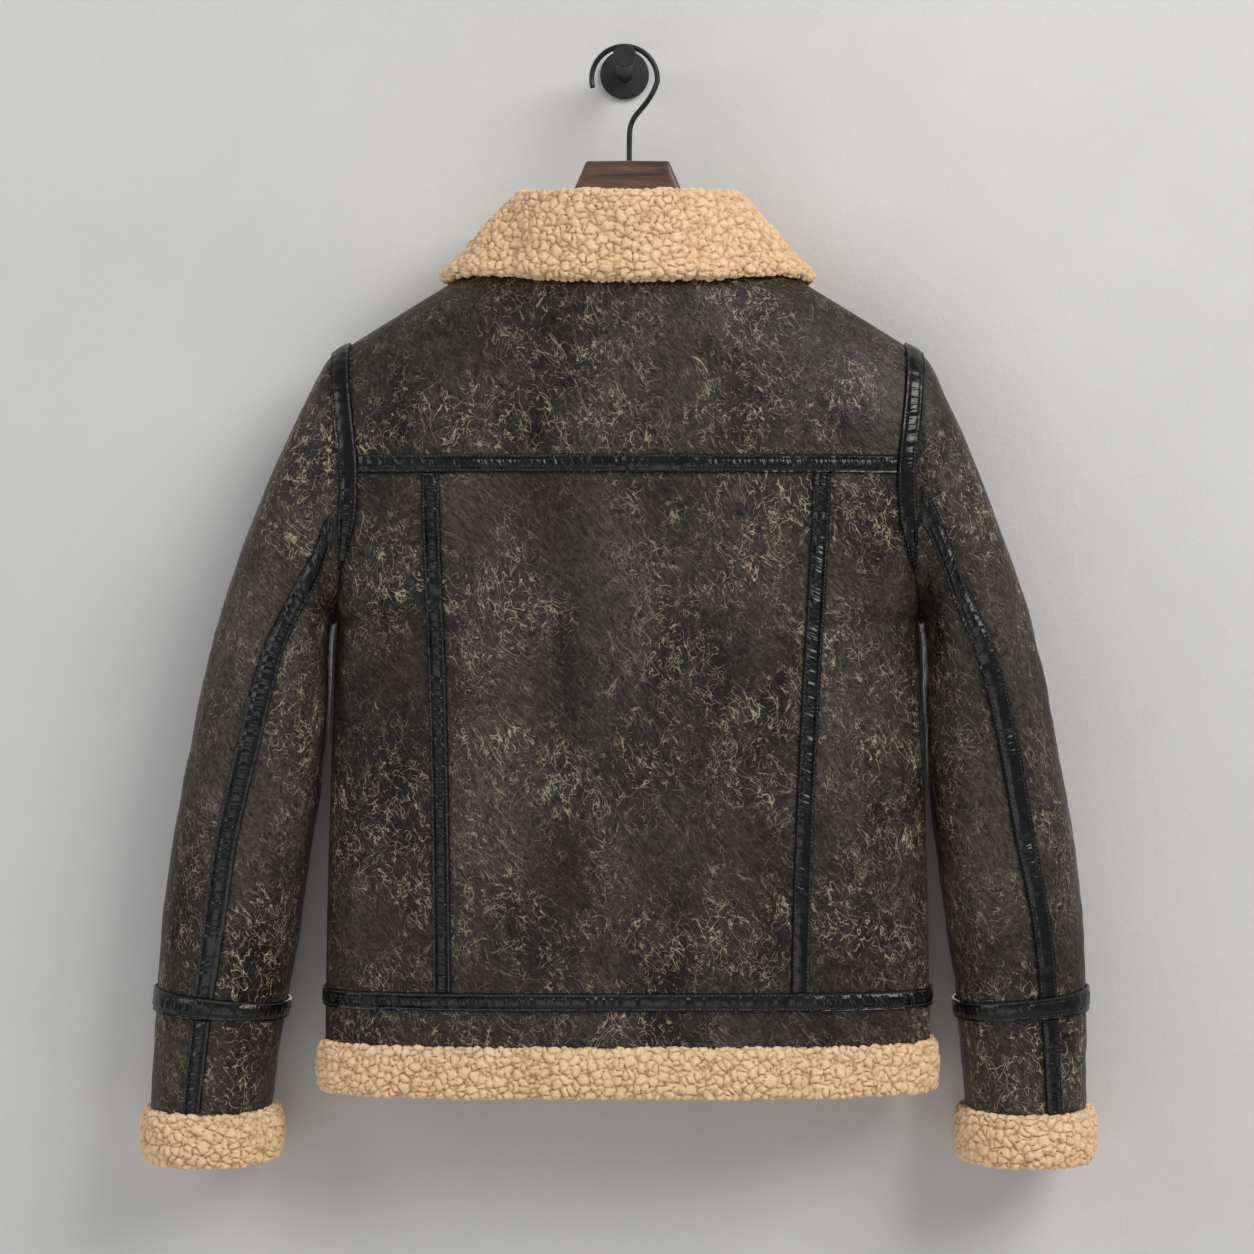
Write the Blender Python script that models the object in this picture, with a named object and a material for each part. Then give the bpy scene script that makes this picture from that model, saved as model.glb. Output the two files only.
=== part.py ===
"""A shearling jacket seen from behind, on a wooden hanger with a wire hook, on a round wall peg.

Metres, +Z up. The origin is the centre of the peg's flat back face, on the wall. The wall is the
plane y = 0, the jacket's front faces it, and its back faces -Y. X runs to the right as seen from behind.
"""
import math

import bmesh
import bpy
import numpy as np

# Driving sizes
GAP = 0.0003
SEAT_GAP = 0.0006
WALL = 0.005
CENTRE_X = 0.0025
MID_Y = -0.072
FRONT_SLIT = 0.0010
SIDE_POWER = 3.0
CREST_POWER = 2.2

# Heights of the seams and edges
YOKE_Z = -0.3285
HEM_SEAM_Z = -0.7485
FUR_TOP_Z = -0.7835
FUR_BOTTOM_Z = -0.8235

# Shoulders, neck and armholes
NECK_HALF_WIDTH = 0.077
NECK_Z = -0.142
NECK_BACK_DEPTH = 0.055
NECK_FRONT_DEPTH = 0.042
NECK_BACK_DIP = 0.016
NECK_FRONT_DIP = 0.060
SHOULDER_X = 0.2275
SHOULDER_SLOPE = 0.616
SHOULDER_Z = NECK_Z - (SHOULDER_X - NECK_HALF_WIDTH) * SHOULDER_SLOPE
UNDERARM_Z = -0.450
ARM_Z = (SHOULDER_Z + UNDERARM_Z) / 2
ARM_HALF_HEIGHT = (SHOULDER_Z - UNDERARM_Z) / 2
ARM_HALF_DEPTH = 0.052
NECK_Q = NECK_HALF_WIDTH / SHOULDER_X

# Trim strips
STRIP_WIDTH = 0.0145
STRIP_THICKNESS = 0.0022
STRIP_LIFT = 0.0005
ARMHOLE_STRIP_LIFT = 0.0004

# Fleece edges stand this far out of the panel above, and this far into the hollow
HEM_FUR_OUT = 0.0062
HEM_FUR_IN = 0.0100
CUFF_FUR_OUT = 0.0080
CUFF_FUR_IN = 0.0085
CUFF_FUR_HEIGHT = 0.0420

# Body of the jacket: half width, and how far its back and front stand from the middle plane
BODY_COLUMNS = ("z", "half_width", "back_depth", "front_depth")
BODY_ROWS = (
    (-0.142, 0.2275, 0.0640, 0.0500),
    (-0.236, 0.2275, 0.0655, 0.0560),
    (-0.295, 0.2219, 0.0660, 0.0590),
    (-0.329, 0.2180, 0.0660, 0.0600),
    (-0.363, 0.2185, 0.0660, 0.0600),
    (-0.402, 0.2235, 0.0655, 0.0600),
    (-0.450, 0.2312, 0.0645, 0.0590),
    (-0.514, 0.2344, 0.0630, 0.0575),
    (-0.600, 0.2375, 0.0610, 0.0550),
    (-0.700, 0.2400, 0.0590, 0.0530),
    (-0.785, 0.2412, 0.0580, 0.0520),
    (-0.830, 0.2412, 0.0580, 0.0520),
)

# The two long back seams: how far from the middle each one runs
SEAM_COLUMNS = ("z", "left", "right")
SEAM_ROWS = (
    (-0.3285, 0.1535, 0.1515),
    (-0.3700, 0.1528, 0.1500),
    (-0.5110, 0.1479, 0.1423),
    (-0.7485, 0.1450, 0.1346),
    (-0.7850, 0.1450, 0.1346),
)

# Soft folds of the body: the line each follows from top to bottom, its half width and its depth
# Columns: face, x_top, x_bottom, z_top, z_bottom, half_width, depth
FOLD_ROWS = (
    ("back", -0.112, -0.098, -0.220, -0.318, 0.018, 0.0030),
    ("back", -0.072, -0.060, -0.230, -0.320, 0.016, 0.0022),
    ("back", 0.070, 0.062, -0.225, -0.318, 0.018, 0.0028),
    ("back", 0.128, 0.112, -0.240, -0.320, 0.016, 0.0018),
    ("back", -0.066, -0.060, -0.345, -0.640, 0.024, 0.0026),
    ("back", 0.058, 0.070, -0.360, -0.560, 0.026, 0.0022),
    ("back", -0.196, -0.170, -0.440, -0.600, 0.020, 0.0028),
    ("back", 0.196, 0.168, -0.440, -0.590, 0.020, 0.0024),
    ("back", 0.010, 0.016, -0.520, -0.730, 0.030, 0.0018),
    ("front", -0.150, -0.120, -0.300, -0.560, 0.026, 0.0030),
    ("front", 0.150, 0.125, -0.310, -0.580, 0.026, 0.0028),
    ("front", -0.070, -0.060, -0.420, -0.700, 0.024, 0.0022),
    ("front", 0.075, 0.066, -0.400, -0.690, 0.024, 0.0022),
)

# Sleeve sections, from the armhole to the cuff's edge. Distances are from the jacket's middle.
# split_left and split_right say where the back seam crosses a section: 1 at its outer edge, -1 inside.
SLEEVE_COLUMNS = (
    "outer_left", "outer_right", "outer_z", "inner_left", "inner_right", "inner_z",
    "centre_y", "half_depth", "split_left", "split_right",
)
SLEEVE_ROWS = (
    (0.2275, 0.2275, SHOULDER_Z, 0.2312, 0.2312, UNDERARM_Z, -0.0720, 0.0520, -0.29, -0.08),
    (0.2405, 0.2403, -0.2440, 0.2348, 0.2344, -0.4535, -0.0720, 0.0530, -0.36, -0.20),
    (0.2565, 0.2547, -0.2742, 0.2358, 0.2352, -0.4580, -0.0720, 0.0540, -0.40, -0.20),
    (0.2717, 0.2691, -0.3062, 0.2366, 0.2360, -0.4640, -0.0720, 0.0550, -0.38, -0.20),
    (0.2925, 0.2883, -0.3542, 0.2374, 0.2368, -0.4750, -0.0720, 0.0555, -0.30, -0.19),
    (0.3109, 0.3059, -0.4022, 0.2380, 0.2373, -0.4920, -0.0715, 0.0560, -0.18, -0.08),
    (0.3269, 0.3219, -0.4502, 0.2386, 0.2378, -0.5130, -0.0705, 0.0560, -0.08, 0.04),
    (0.3437, 0.3379, -0.5142, 0.2421, 0.2395, -0.5622, -0.0690, 0.0555, 0.02, 0.14),
    (0.3597, 0.3531, -0.5942, 0.2553, 0.2483, -0.6422, -0.0670, 0.0540, 0.11, 0.18),
    (0.3709, 0.3627, -0.6742, 0.2657, 0.2587, -0.7142, -0.0650, 0.0520, 0.13, 0.27),
    (0.3772, 0.3672, -0.7500, 0.2745, 0.2645, -0.7590, -0.0630, 0.0500, 0.16, 0.30),
    (0.3821, 0.3675, -0.8395, 0.2861, 0.2715, -0.8395, -0.0610, 0.0480, 0.20, 0.34),
)
CUFF_SEAM = 10.0
CUFF_END = 11.0
FRONT_SEAM_ANGLE = math.radians(-110.0)

# Soft folds of the sleeves: station, angle round the sleeve, reach along and around it, and depth
# Columns: station, angle in degrees, run along the sleeve, run around it, depth
SLEEVE_FOLD_ROWS = (
    (2.6, 62.0, 1.5, 0.22, 0.0034),
    (4.6, 96.0, 1.3, 0.24, 0.0032),
    (6.2, 42.0, 1.0, 0.26, 0.0028),
    (8.2, 108.0, 0.9, 0.26, 0.0022),
    (3.4, -58.0, 1.4, 0.24, 0.0032),
    (6.0, -92.0, 1.2, 0.26, 0.0028),
    (7.6, 12.0, 0.9, 0.30, 0.0022),
)

# Collar
COLLAR_REACH = math.radians(170.0)
COLLAR_STATIONS = 27
ROLL_REACH = 0.0195
SLIT_REACH = 0.0085
SLIT_DROP = 0.0105
STAND_THICKNESS = 0.0060
FALL_THICKNESS = 0.0105
FRONT_FOOT_RISE = 0.0060
FALL_CLEAR_BACK = 0.0022
FALL_CLEAR_FRONT = 0.0065
COLLAR_COLUMNS = ("angle", "roll_z", "fall_z")
COLLAR_ROWS = (
    (0.0, -0.1165, -0.1850),
    (45.0, -0.1140, -0.1830),
    (90.0, -0.1115, -0.1755),
    (135.0, -0.1320, -0.2030),
    (180.0, -0.1700, -0.2250),
)

# Hanger, hook and peg
HANGER_HALF_LENGTH = 0.203
HANGER_COLUMNS = ("x", "top_z", "bottom_z", "half_thickness")
HANGER_ROWS = (
    (0.000, -0.0830, -0.1300, 0.0085),
    (0.033, -0.0832, -0.1330, 0.0085),
    (0.042, -0.1040, -0.1400, 0.0088),
    (0.055, -0.1320, -0.1560, 0.0085),
    (0.067, -0.1530, -0.1730, 0.0078),
    (0.080, -0.1540, -0.1760, 0.0090),
    (0.130, -0.1815, -0.2060, 0.0125),
    (0.180, -0.2123, -0.2340, 0.0140),
    (0.198, -0.2236, -0.2420, 0.0130),
    (0.203, -0.2285, -0.2390, 0.0095),
)
HANGER_MIDDLE_ROUNDING = 3.6
HANGER_ARM_ROUNDING = 2.3
WIRE_RADIUS = 0.00215
HOOK_RADIUS = 0.0263
HOOK_ARC_START = math.radians(196.0)
HOOK_ARC_END = math.radians(-6.0)
SHANK_X = 0.0038
HOOK_BENDS = ((0.0228, -0.0290), (0.0168, -0.0375), (0.0106, -0.0443), (0.0057, -0.0505), (0.0040, -0.0575))
ROSETTE_RADIUS = 0.0202
ROSETTE_THICKNESS = 0.004
STEM_RADIUS = 0.0065
HEAD_RADIUS = 0.0094
HEAD_THICKNESS = 0.005
PEG_LENGTH = 0.081
EDGE_ROUND = 0.001
PEG_SIDES = 20
HANGER_SIDES = 12
WIRE_SIDES = 8


def column(names, rows, name):
    """One named column of a table, as an array."""
    place = names.index(name)
    return np.array([row[place] for row in rows])


def smooth(at, known, values):
    """A smooth curve through a table's values: cubic between rows, with each row's mean slope."""
    order = np.argsort(known)
    known, values = np.asarray(known, float)[order], np.asarray(values, float)[order]
    slopes = np.gradient(values, known)
    at = np.clip(at, known[0], known[-1])
    cell = np.clip(np.searchsorted(known, at) - 1, 0, len(known) - 2)
    width = known[cell + 1] - known[cell]
    t = (at - known[cell]) / width
    start, end = values[cell], values[cell + 1]
    return (
        start * (2 * t**3 - 3 * t**2 + 1)
        + slopes[cell] * width * (t**3 - 2 * t**2 + t)
        + end * (3 * t**2 - 2 * t**3)
        + slopes[cell + 1] * width * (t**3 - t**2)
    )


def body(z, name):
    return smooth(z, column(BODY_COLUMNS, BODY_ROWS, "z"), column(BODY_COLUMNS, BODY_ROWS, name))


def crest(share, power=CREST_POWER):
    """How full the body is below its shoulder line: 0 on the line, 1 at the armhole's middle."""
    return np.clip(1 - (1 - np.clip(share, 0, 1)) ** power, 0, 1) ** (1 / power)


def neck_share(q):
    return np.sqrt(np.clip(1 - (q / NECK_Q) ** 2, 0, 1))


def top_z(q, face, inset):
    """Height of the neck edge or of the shoulder line, for q from 0 in the middle to 1 at the shoulder."""
    dip = NECK_BACK_DIP if face == "back" else NECK_FRONT_DIP
    neck = NECK_Z - dip * neck_share(q) ** 2
    slope = NECK_Z - (q * SHOULDER_X - NECK_HALF_WIDTH) * SHOULDER_SLOPE
    drop = inset * math.hypot(1, SHOULDER_SLOPE) * np.clip(q / NECK_Q, 0, 1) ** 2
    return np.where(q < NECK_Q, neck, slope) - drop


def folds(x, z, face):
    """Depth of the soft folds, each a trough along its own slanting line."""
    total = np.zeros(np.broadcast(x, z).shape)
    for kind, x_top, x_bottom, z_top, z_bottom, half_width, depth in FOLD_ROWS:
        if kind == face:
            along = (z_top - z) / (z_top - z_bottom)
            line = x_top + (x_bottom - x_top) * along
            window = np.sin(math.pi * np.clip(along, 0, 1)) ** 2
            total = total + depth * window * np.exp(-(((x - line) / half_width) ** 2))
    return total


def body_depth(q, z, face, inset=0.0):
    """How far the body's wall stands from the middle plane at q, from -1 to 1, and at height z."""
    size = np.abs(q)
    full = body(z, face + "_depth") - inset
    arm = ARM_HALF_DEPTH - inset
    beside_arm = np.clip((z - UNDERARM_Z) / ARM_HALF_DEPTH, 0, 1)
    beside_arm = beside_arm**2 * (3 - 2 * beside_arm)
    across = np.clip(1 - size**SIDE_POWER, 0, 1) ** (1 / SIDE_POWER)
    across = across + (np.clip(1 - size**4, 0, 1) - across) * beside_arm
    top = top_z(size, face, inset)
    fill = crest((top - z) / (top - ARM_Z))
    neck_depth = NECK_BACK_DEPTH if face == "back" else NECK_FRONT_DEPTH
    edge = np.clip(neck_depth * neck_share(size) - inset, 0, None)
    upper = edge + (arm + (full - arm) * across - edge) * fill
    share = np.clip(np.abs(z - ARM_Z) / (ARM_HALF_HEIGHT - inset), 0, 1)
    side = arm * (1 - share**CREST_POWER) ** (1 / CREST_POWER)
    lower = side + (full - side) * across
    depth = np.where(z >= ARM_Z, upper, lower)
    return depth - folds(q * body(z, "half_width"), z, face) * across * fill


def body_points(q, z, face, inset=0.0):
    """Points of the body's wall. The wall's inside is the same form, smaller by inset."""
    open_arm = np.clip((z - UNDERARM_Z - inset) / (3 * WALL), 0, 1)
    side_inset = inset * (1 - open_arm) * np.abs(q) ** 9
    sign = -1.0 if face == "back" else 1.0
    depth = np.maximum(body_depth(q, z, face, inset), 0) + GAP / 2
    return np.stack([CENTRE_X + q * (body(z, "half_width") - side_inset), MID_Y + sign * depth, z], axis=-1)


def turned(share):
    """Spacing across the body: close together where the side turns away."""
    return np.sin(share) ** (2 / SIDE_POWER)


def turn_of(q):
    return math.asin(min(1.0, q) ** (SIDE_POWER / 2))


def seam_x(z, side):
    return smooth(z, column(SEAM_COLUMNS, SEAM_ROWS, "z"), column(SEAM_COLUMNS, SEAM_ROWS, side))


def q_spread(start, end, count):
    """Signed q values from start to end, evenly spread in the turning angle, eased at the middle."""
    eased = []
    for edge in (start, end):
        turn = (turn_of(abs(edge)) / (math.pi / 2)) ** (1 / 1.4)
        eased.append(math.copysign(turn, edge))
    steps = np.linspace(eased[0], eased[1], count)
    return np.sign(steps) * turned(np.abs(steps) ** 1.4 * math.pi / 2)


def new_object(name, points, faces, material):
    """A closed mesh object from points and faces, turned to face outwards."""
    mesh = bpy.data.meshes.new(name)
    mesh.from_pydata([tuple(map(float, point)) for point in points], [], faces)
    shape = bmesh.new()
    shape.from_mesh(mesh)
    if shape.calc_volume(signed=True) < 0:
        bmesh.ops.reverse_faces(shape, faces=shape.faces)
    shape.to_mesh(mesh)
    shape.free()
    mesh.shade_smooth()
    mesh.set_sharp_from_angle(angle=math.radians(50))
    mesh.materials.append(material)
    made = bpy.data.objects.new(name, mesh)
    bpy.context.scene.collection.objects.link(made)
    return made


def wall(name, outer, inner, material, closed=False):
    """A wall between two grids of points. A closed one joins its last column to its first."""
    rows, columns = outer.shape[:2]
    points = np.concatenate([outer.reshape(-1, 3), inner.reshape(-1, 3)])
    layer = rows * columns

    def at(side, row, place):
        return side * layer + row * columns + place % columns

    faces = []
    across = columns if closed else columns - 1
    for row in range(rows - 1):
        for place in range(across):
            ring = [(row, place), (row, place + 1), (row + 1, place + 1), (row + 1, place)]
            faces.append([at(0, *spot) for spot in ring])
            faces.append([at(1, *spot) for spot in reversed(ring)])
    for place in range(across):
        faces.append([at(0, 0, place + 1), at(0, 0, place), at(1, 0, place), at(1, 0, place + 1)])
        last = rows - 1
        faces.append([at(0, last, place), at(0, last, place + 1), at(1, last, place + 1), at(1, last, place)])
    if not closed:
        for row in range(rows - 1):
            faces.append([at(0, row, 0), at(0, row + 1, 0), at(1, row + 1, 0), at(1, row, 0)])
            end = columns - 1
            faces.append([at(0, row + 1, end), at(0, row, end), at(1, row, end), at(1, row + 1, end)])
    return new_object(name, points, faces, material)


def sweep(name, loops, material, closed=False):
    """A solid through closed loops of points, one behind the other, capped unless it closes on itself."""
    count, around = loops.shape[:2]
    faces = []
    for step in range(count if closed else count - 1):
        here, there = step * around, (step + 1) % count * around
        for place in range(around):
            beside = (place + 1) % around
            faces.append([here + place, here + beside, there + beside, there + place])
    if not closed:
        faces.append(list(range(around))[::-1])
        faces.append([(count - 1) * around + place for place in range(around)])
    return new_object(name, loops.reshape(-1, 3), faces, material)


def material(name, colour, roughness, metallic=0.0):
    made = bpy.data.materials.new(name)
    made.use_nodes = True
    shader = made.node_tree.nodes["Principled BSDF"]
    shader.inputs["Base Color"].default_value = (*colour, 1.0)
    shader.inputs["Roughness"].default_value = roughness
    shader.inputs["Metallic"].default_value = metallic
    made.diffuse_color = (*colour, 1.0)
    return made


def back_columns(z, part):
    """The q values across one row of a back panel: the middle one, or a side one."""
    half = float(body(z, "half_width"))
    left = float(seam_x(z, "left")) / half
    right = float(seam_x(z, "right")) / half
    slit = GAP / 2 / half
    if part == "centre":
        left_run = q_spread(-left + slit, -NECK_Q, 4)
        neck = np.linspace(-NECK_Q, NECK_Q, 9)
        right_run = q_spread(NECK_Q, right - slit, 4)
        return np.concatenate([left_run[:-1], neck, right_run[1:]])
    if part == "left":
        return q_spread(-1.0, -left - slit, 8)
    return q_spread(right + slit, 1.0, 8)


def body_panel(name, face, rows, columns_of, leather):
    """A wall panel of the body: rows of heights, each with its own q values."""
    q = np.array([columns_of(z) for z in rows])
    z = np.repeat(np.array(rows)[:, None], q.shape[1], axis=1)
    wall(name, body_points(q, z, face), body_points(q, z, face, WALL), leather)


def top_panel(name, face, q, bottom_z, leather):
    """A wall panel whose rows rise from a level seam to the neck edge and the shoulder line."""
    grids = []
    for inset in (0.0, WALL):
        top = top_z(np.abs(q), face, inset)
        z = bottom_z + (top - bottom_z) * CREST_STEPS[:, None]
        grids.append(body_points(np.broadcast_to(q, z.shape), z, face, inset))
    wall(name, grids[0], grids[1], leather)


def yoke_columns():
    sides = [back_columns(YOKE_Z, part) for part in ("left", "centre", "right")]
    return np.concatenate([sides[0], sides[1][1:-1], sides[2]])


def strip_from(name, base, out, trim, closed=False):
    """A trim strip made from a panel's points, moved out along the panel's own outward directions."""
    lift = base + out * STRIP_LIFT
    crown = np.full(base.shape[:1], 1.0)
    crown[[0, -1]] = 0.62
    top = base + out * (STRIP_LIFT + STRIP_THICKNESS * crown[:, None, None])
    wall(name, top, lift, trim, closed)


def outward(grid, closed=False):
    """Unit directions square to a grid of points, away from the jacket's hollow."""
    along = np.gradient(grid, axis=0)
    if closed:
        across = np.roll(grid, -1, axis=1) - np.roll(grid, 1, axis=1)
    else:
        across = np.gradient(grid, axis=1)
    square = np.cross(along, across)
    return square / np.linalg.norm(square, axis=2, keepdims=True)


def facing(grid, out, centre):
    """Turns the directions round if they point at the hollow's middle."""
    return out if np.sum((grid - centre) * out) > 0 else -out


BODY_MIDDLE = np.array([CENTRE_X, MID_Y, -0.5])
ARMHOLE_LEVELS = (-0.363, -0.385, -0.408, -0.430, -0.450, -0.470)
WAISTBAND_LEVELS = (HEM_SEAM_Z, -0.767, FUR_TOP_Z + GAP)
CREST_STEPS = 1 - (1 - np.linspace(0, 1, 8)) ** 2.4
STRIP_OFFSETS = np.array([-0.5, 0.0, 0.5]) * STRIP_WIDTH


def level_strip(name, face, q, z_seam, trim):
    """A strip along a level seam, on the columns of the panels that it covers."""
    z = np.repeat(z_seam + STRIP_OFFSETS[:, None], len(q), axis=1)
    base = body_points(np.broadcast_to(q, z.shape), z, face)
    out = facing(base, outward(base), BODY_MIDDLE)
    for end in (0, -1):
        flat = 1 if abs(q[end]) > 0.99 else 0
        out[:, end, flat] = 0
    out /= np.linalg.norm(out, axis=2, keepdims=True)
    strip_from(name, base, out, trim)


def long_back_strip(name, side, rows, trim):
    """A strip along one of the two long back seams."""
    sign = -1.0 if side == "left" else 1.0
    z = np.array(rows)
    half = body(z, "half_width")
    q = (sign * seam_x(z, side) + STRIP_OFFSETS[:, None]) / half
    base = body_points(q, np.broadcast_to(z, q.shape), "back")
    strip_from(name, base, facing(base, outward(base), BODY_MIDDLE), trim)


def back(leather, trim):
    lower_rows = (YOKE_Z - GAP, -0.345, *ARMHOLE_LEVELS, -0.510, -0.560, -0.620, -0.690, HEM_SEAM_Z + GAP)
    top_panel("back_yoke", "back", yoke_columns(), YOKE_Z, leather)
    for part, name in (("centre", "back_centre"), ("left", "back_side_left"), ("right", "back_side_right")):
        body_panel(name, "back", lower_rows, lambda z, part=part: back_columns(z, part), leather)
    whole = yoke_columns()
    body_panel("waistband_back", "back", WAISTBAND_LEVELS, lambda z: whole, leather)
    yoke_end = 1 - (STRIP_WIDTH / 2 + 3 * GAP) / float(body(YOKE_Z, "half_width"))
    across = np.concatenate([[-yoke_end], whole[np.abs(whole) < yoke_end - 0.01], [yoke_end]])
    level_strip("strip_yoke", "back", across, YOKE_Z, trim)
    level_strip("strip_hem_back", "back", whole, HEM_SEAM_Z, trim)
    inside = STRIP_WIDTH / 2 + 2 * GAP
    strip_rows = (YOKE_Z - inside, *lower_rows[2:-1], HEM_SEAM_Z + inside)
    for side in ("left", "right"):
        long_back_strip("strip_back_" + side, side, strip_rows, trim)


def front_columns(side):
    slit = FRONT_SLIT / 2 / SHOULDER_X
    q = np.concatenate([np.linspace(slit, NECK_Q, 6), q_spread(NECK_Q, 1.0, 8)[1:]])
    return -q[::-1] if side == "left" else q


def front(leather, trim):
    for side in ("left", "right"):
        q = front_columns(side)
        low_rows = np.array((HEM_SEAM_Z + GAP, -0.738, -0.660, -0.580, -0.510, *ARMHOLE_LEVELS[::-1]))
        grids = []
        for inset in (0.0, WALL):
            top = top_z(np.abs(q), "front", inset)
            upper = ARM_Z + (top - ARM_Z) * CREST_STEPS[:, None]
            z = np.concatenate([np.repeat(low_rows[:, None], len(q), axis=1), upper])
            grids.append(body_points(np.broadcast_to(q, z.shape), z, "front", inset))
        wall("front_" + side, grids[0], grids[1], leather)
        body_panel("waistband_front_" + side, "front", WAISTBAND_LEVELS, lambda z, q=q: q, leather)
        level_strip("strip_hem_front_" + side, "front", q, HEM_SEAM_Z, trim)


def rounded_band(top, bottom, outside, inside, round_out):
    """A closed profile of a fleece edge: offsets from the panel above, and heights. It bulges outside."""
    middle = (top + bottom) / 2
    corner = 0.003
    return np.array([
        (-inside, top - corner), (-inside + corner, top), (0.0, top),
        (outside * 0.62, top - round_out * 0.12), (outside, top - round_out), (outside * 1.06, middle),
        (outside, bottom + round_out), (outside * 0.55, bottom), (-inside + corner, bottom),
        (-inside, bottom + corner),
    ])


def hem_fur(name, face, q, fleece):
    """The fleece hem: a rounded band carried round the body's lower edge."""
    band = rounded_band(FUR_TOP_Z, FUR_BOTTOM_Z, HEM_FUR_OUT, HEM_FUR_IN, 0.009)
    loops = np.stack([
        body_points(q, np.full(len(q), height), face, -offset)
        for offset, height in band
    ], axis=1)
    sweep(name, loops, fleece)


def sleeve_table(station, side):
    """The sleeve's section at each station, read smoothly from the table."""
    known = np.arange(len(SLEEVE_ROWS), dtype=float)
    found = {}
    for name in SLEEVE_COLUMNS:
        found[name] = smooth(station, known, column(SLEEVE_COLUMNS, SLEEVE_ROWS, name))
    section = {"outer_x": found["outer_" + side], "inner_x": found["inner_" + side]}
    section["split"] = found["split_" + side]
    for name in ("outer_z", "inner_z", "centre_y", "half_depth"):
        section[name] = found[name]
    return section


def bent(value):
    """A cosine or sine pressed outwards a little, for a section fuller than an ellipse."""
    return np.sign(value) * np.abs(value) ** (2 / CREST_POWER)


def sleeve_points(station, angle, side, inset=0.0):
    """Points of a sleeve. Angle 0 is its outer edge, a quarter turn is its back, a half turn its inside."""
    sign = -1.0 if side == "left" else 1.0
    s = sleeve_table(station, side)
    across_x, across_z = s["outer_x"] - s["inner_x"], s["outer_z"] - s["inner_z"]
    length = np.hypot(across_x, across_z)
    dent = np.zeros(np.broadcast(station, angle).shape)
    for place, turn, along, around, depth in SLEEVE_FOLD_ROWS:
        wrap = np.angle(np.exp(1j * (angle - math.radians(turn))))
        dent = dent + depth * np.exp(-(((station - place) / along) ** 2) - (wrap / around) ** 2)
    dent = dent * np.clip(station - 0.6, 0, 1) * np.clip(CUFF_SEAM - 0.6 - station, 0, 1)
    reach = (length / 2 - inset - dent) * bent(np.cos(angle))
    x = (s["outer_x"] + s["inner_x"]) / 2 + reach * across_x / length
    z = (s["outer_z"] + s["inner_z"]) / 2 + reach * across_z / length
    y = s["centre_y"] - (s["half_depth"] - inset - dent) * bent(np.sin(angle))
    share = (z - UNDERARM_Z) / (SHOULDER_Z - UNDERARM_Z)
    straight = SLEEVE_ROWS[0][3] + (SLEEVE_ROWS[0][0] - SLEEVE_ROWS[0][3]) * share
    fade = np.clip(1 - station / 1.5, 0, 1) ** 2
    x = x + (body(z, "half_width") + SEAT_GAP - straight) * fade
    return np.stack([CENTRE_X + sign * x, y, z], axis=-1)


def split_angle(station, side):
    """The angle of the sleeve's back seam at a station."""
    split = sleeve_table(station, side)["split"]
    return np.arccos(np.sign(split) * np.abs(split) ** (CREST_POWER / 2))


# Where the sleeves' rings stand, between the armhole and the cuff's seam
SLEEVE_STATIONS = np.array([0, 0.5, 1, 1.5, 2, 3, 4, 5, 6, 6.6, 7.2, 7.9, 8.6, 9.3, CUFF_SEAM])
SEAM_SLIT = GAP / 2 / 0.050
RING_SIDES = 22
ARMHOLE_STRIP_TURN = 118
CUFF_STRIP_LIFT = 0.0006
CUFF_STRIP_UP = 0.095
CUFF_STRIP_DOWN = 0.135


def sleeve_panel(name, side, start, end, count, leather):
    """A wall panel of a sleeve between two seams, whose angles change along it."""
    share = np.linspace(0, 1, count)
    angle = start[:, None] + (end - start)[:, None] * share
    station = np.broadcast_to(SLEEVE_STATIONS[:, None], angle.shape)
    outer = sleeve_points(station, angle, side)
    inner = sleeve_points(station, angle, side, WALL)
    wall(name, outer, inner, leather)


def ring_grid(stations, side, inset=0.0):
    """Whole rings round a sleeve, one for each station."""
    angle = np.linspace(0, 2 * math.pi, RING_SIDES, endpoint=False)[None, :]
    station = np.asarray(stations, float)[:, None]
    station, angle = np.broadcast_arrays(station, angle)
    return sleeve_points(station, angle, side, inset)


def sleeve(side, leather, trim, fleece):
    seam = split_angle(SLEEVE_STATIONS, side)
    front_seam = np.full(len(seam), FRONT_SEAM_ANGLE)
    sleeve_panel("top_sleeve_" + side, side, front_seam + SEAM_SLIT, seam - SEAM_SLIT, 12, leather)
    round_again = front_seam + 2 * math.pi
    sleeve_panel("under_sleeve_" + side, side, seam + SEAM_SLIT, round_again - SEAM_SLIT, 10, leather)

    cuff_stations = np.linspace(CUFF_SEAM + 0.004, CUFF_END, 3)
    outer = ring_grid(cuff_stations, side)
    wall("cuff_panel_" + side, outer, ring_grid(cuff_stations, side, WALL), leather, closed=True)

    strip_middle = (CUFF_STRIP_DOWN - CUFF_STRIP_UP) / 2
    seam_steps = CUFF_SEAM + np.array([-CUFF_STRIP_UP, strip_middle, CUFF_STRIP_DOWN])
    band = ring_grid(seam_steps, side)
    middle = band.reshape(-1, 3).mean(axis=0)
    out = facing(band, outward(band, True), middle)
    strip_from("strip_cuff_" + side, band + out * CUFF_STRIP_LIFT, out, trim, closed=True)

    above_cuff = np.append(SLEEVE_STATIONS[2:-1], CUFF_SEAM - CUFF_STRIP_UP - 0.01)
    below_seam = np.linspace(CUFF_SEAM + CUFF_STRIP_DOWN + 0.01, CUFF_END - 0.012, 5)
    long_strip("strip_sleeve_" + side, side, above_cuff, trim)
    long_strip("strip_wrist_" + side, side, below_seam, trim)
    armhole_strip("strip_armhole_" + side, side, trim)
    cuff_fur("cuff_fur_" + side, side, fleece)


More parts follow.
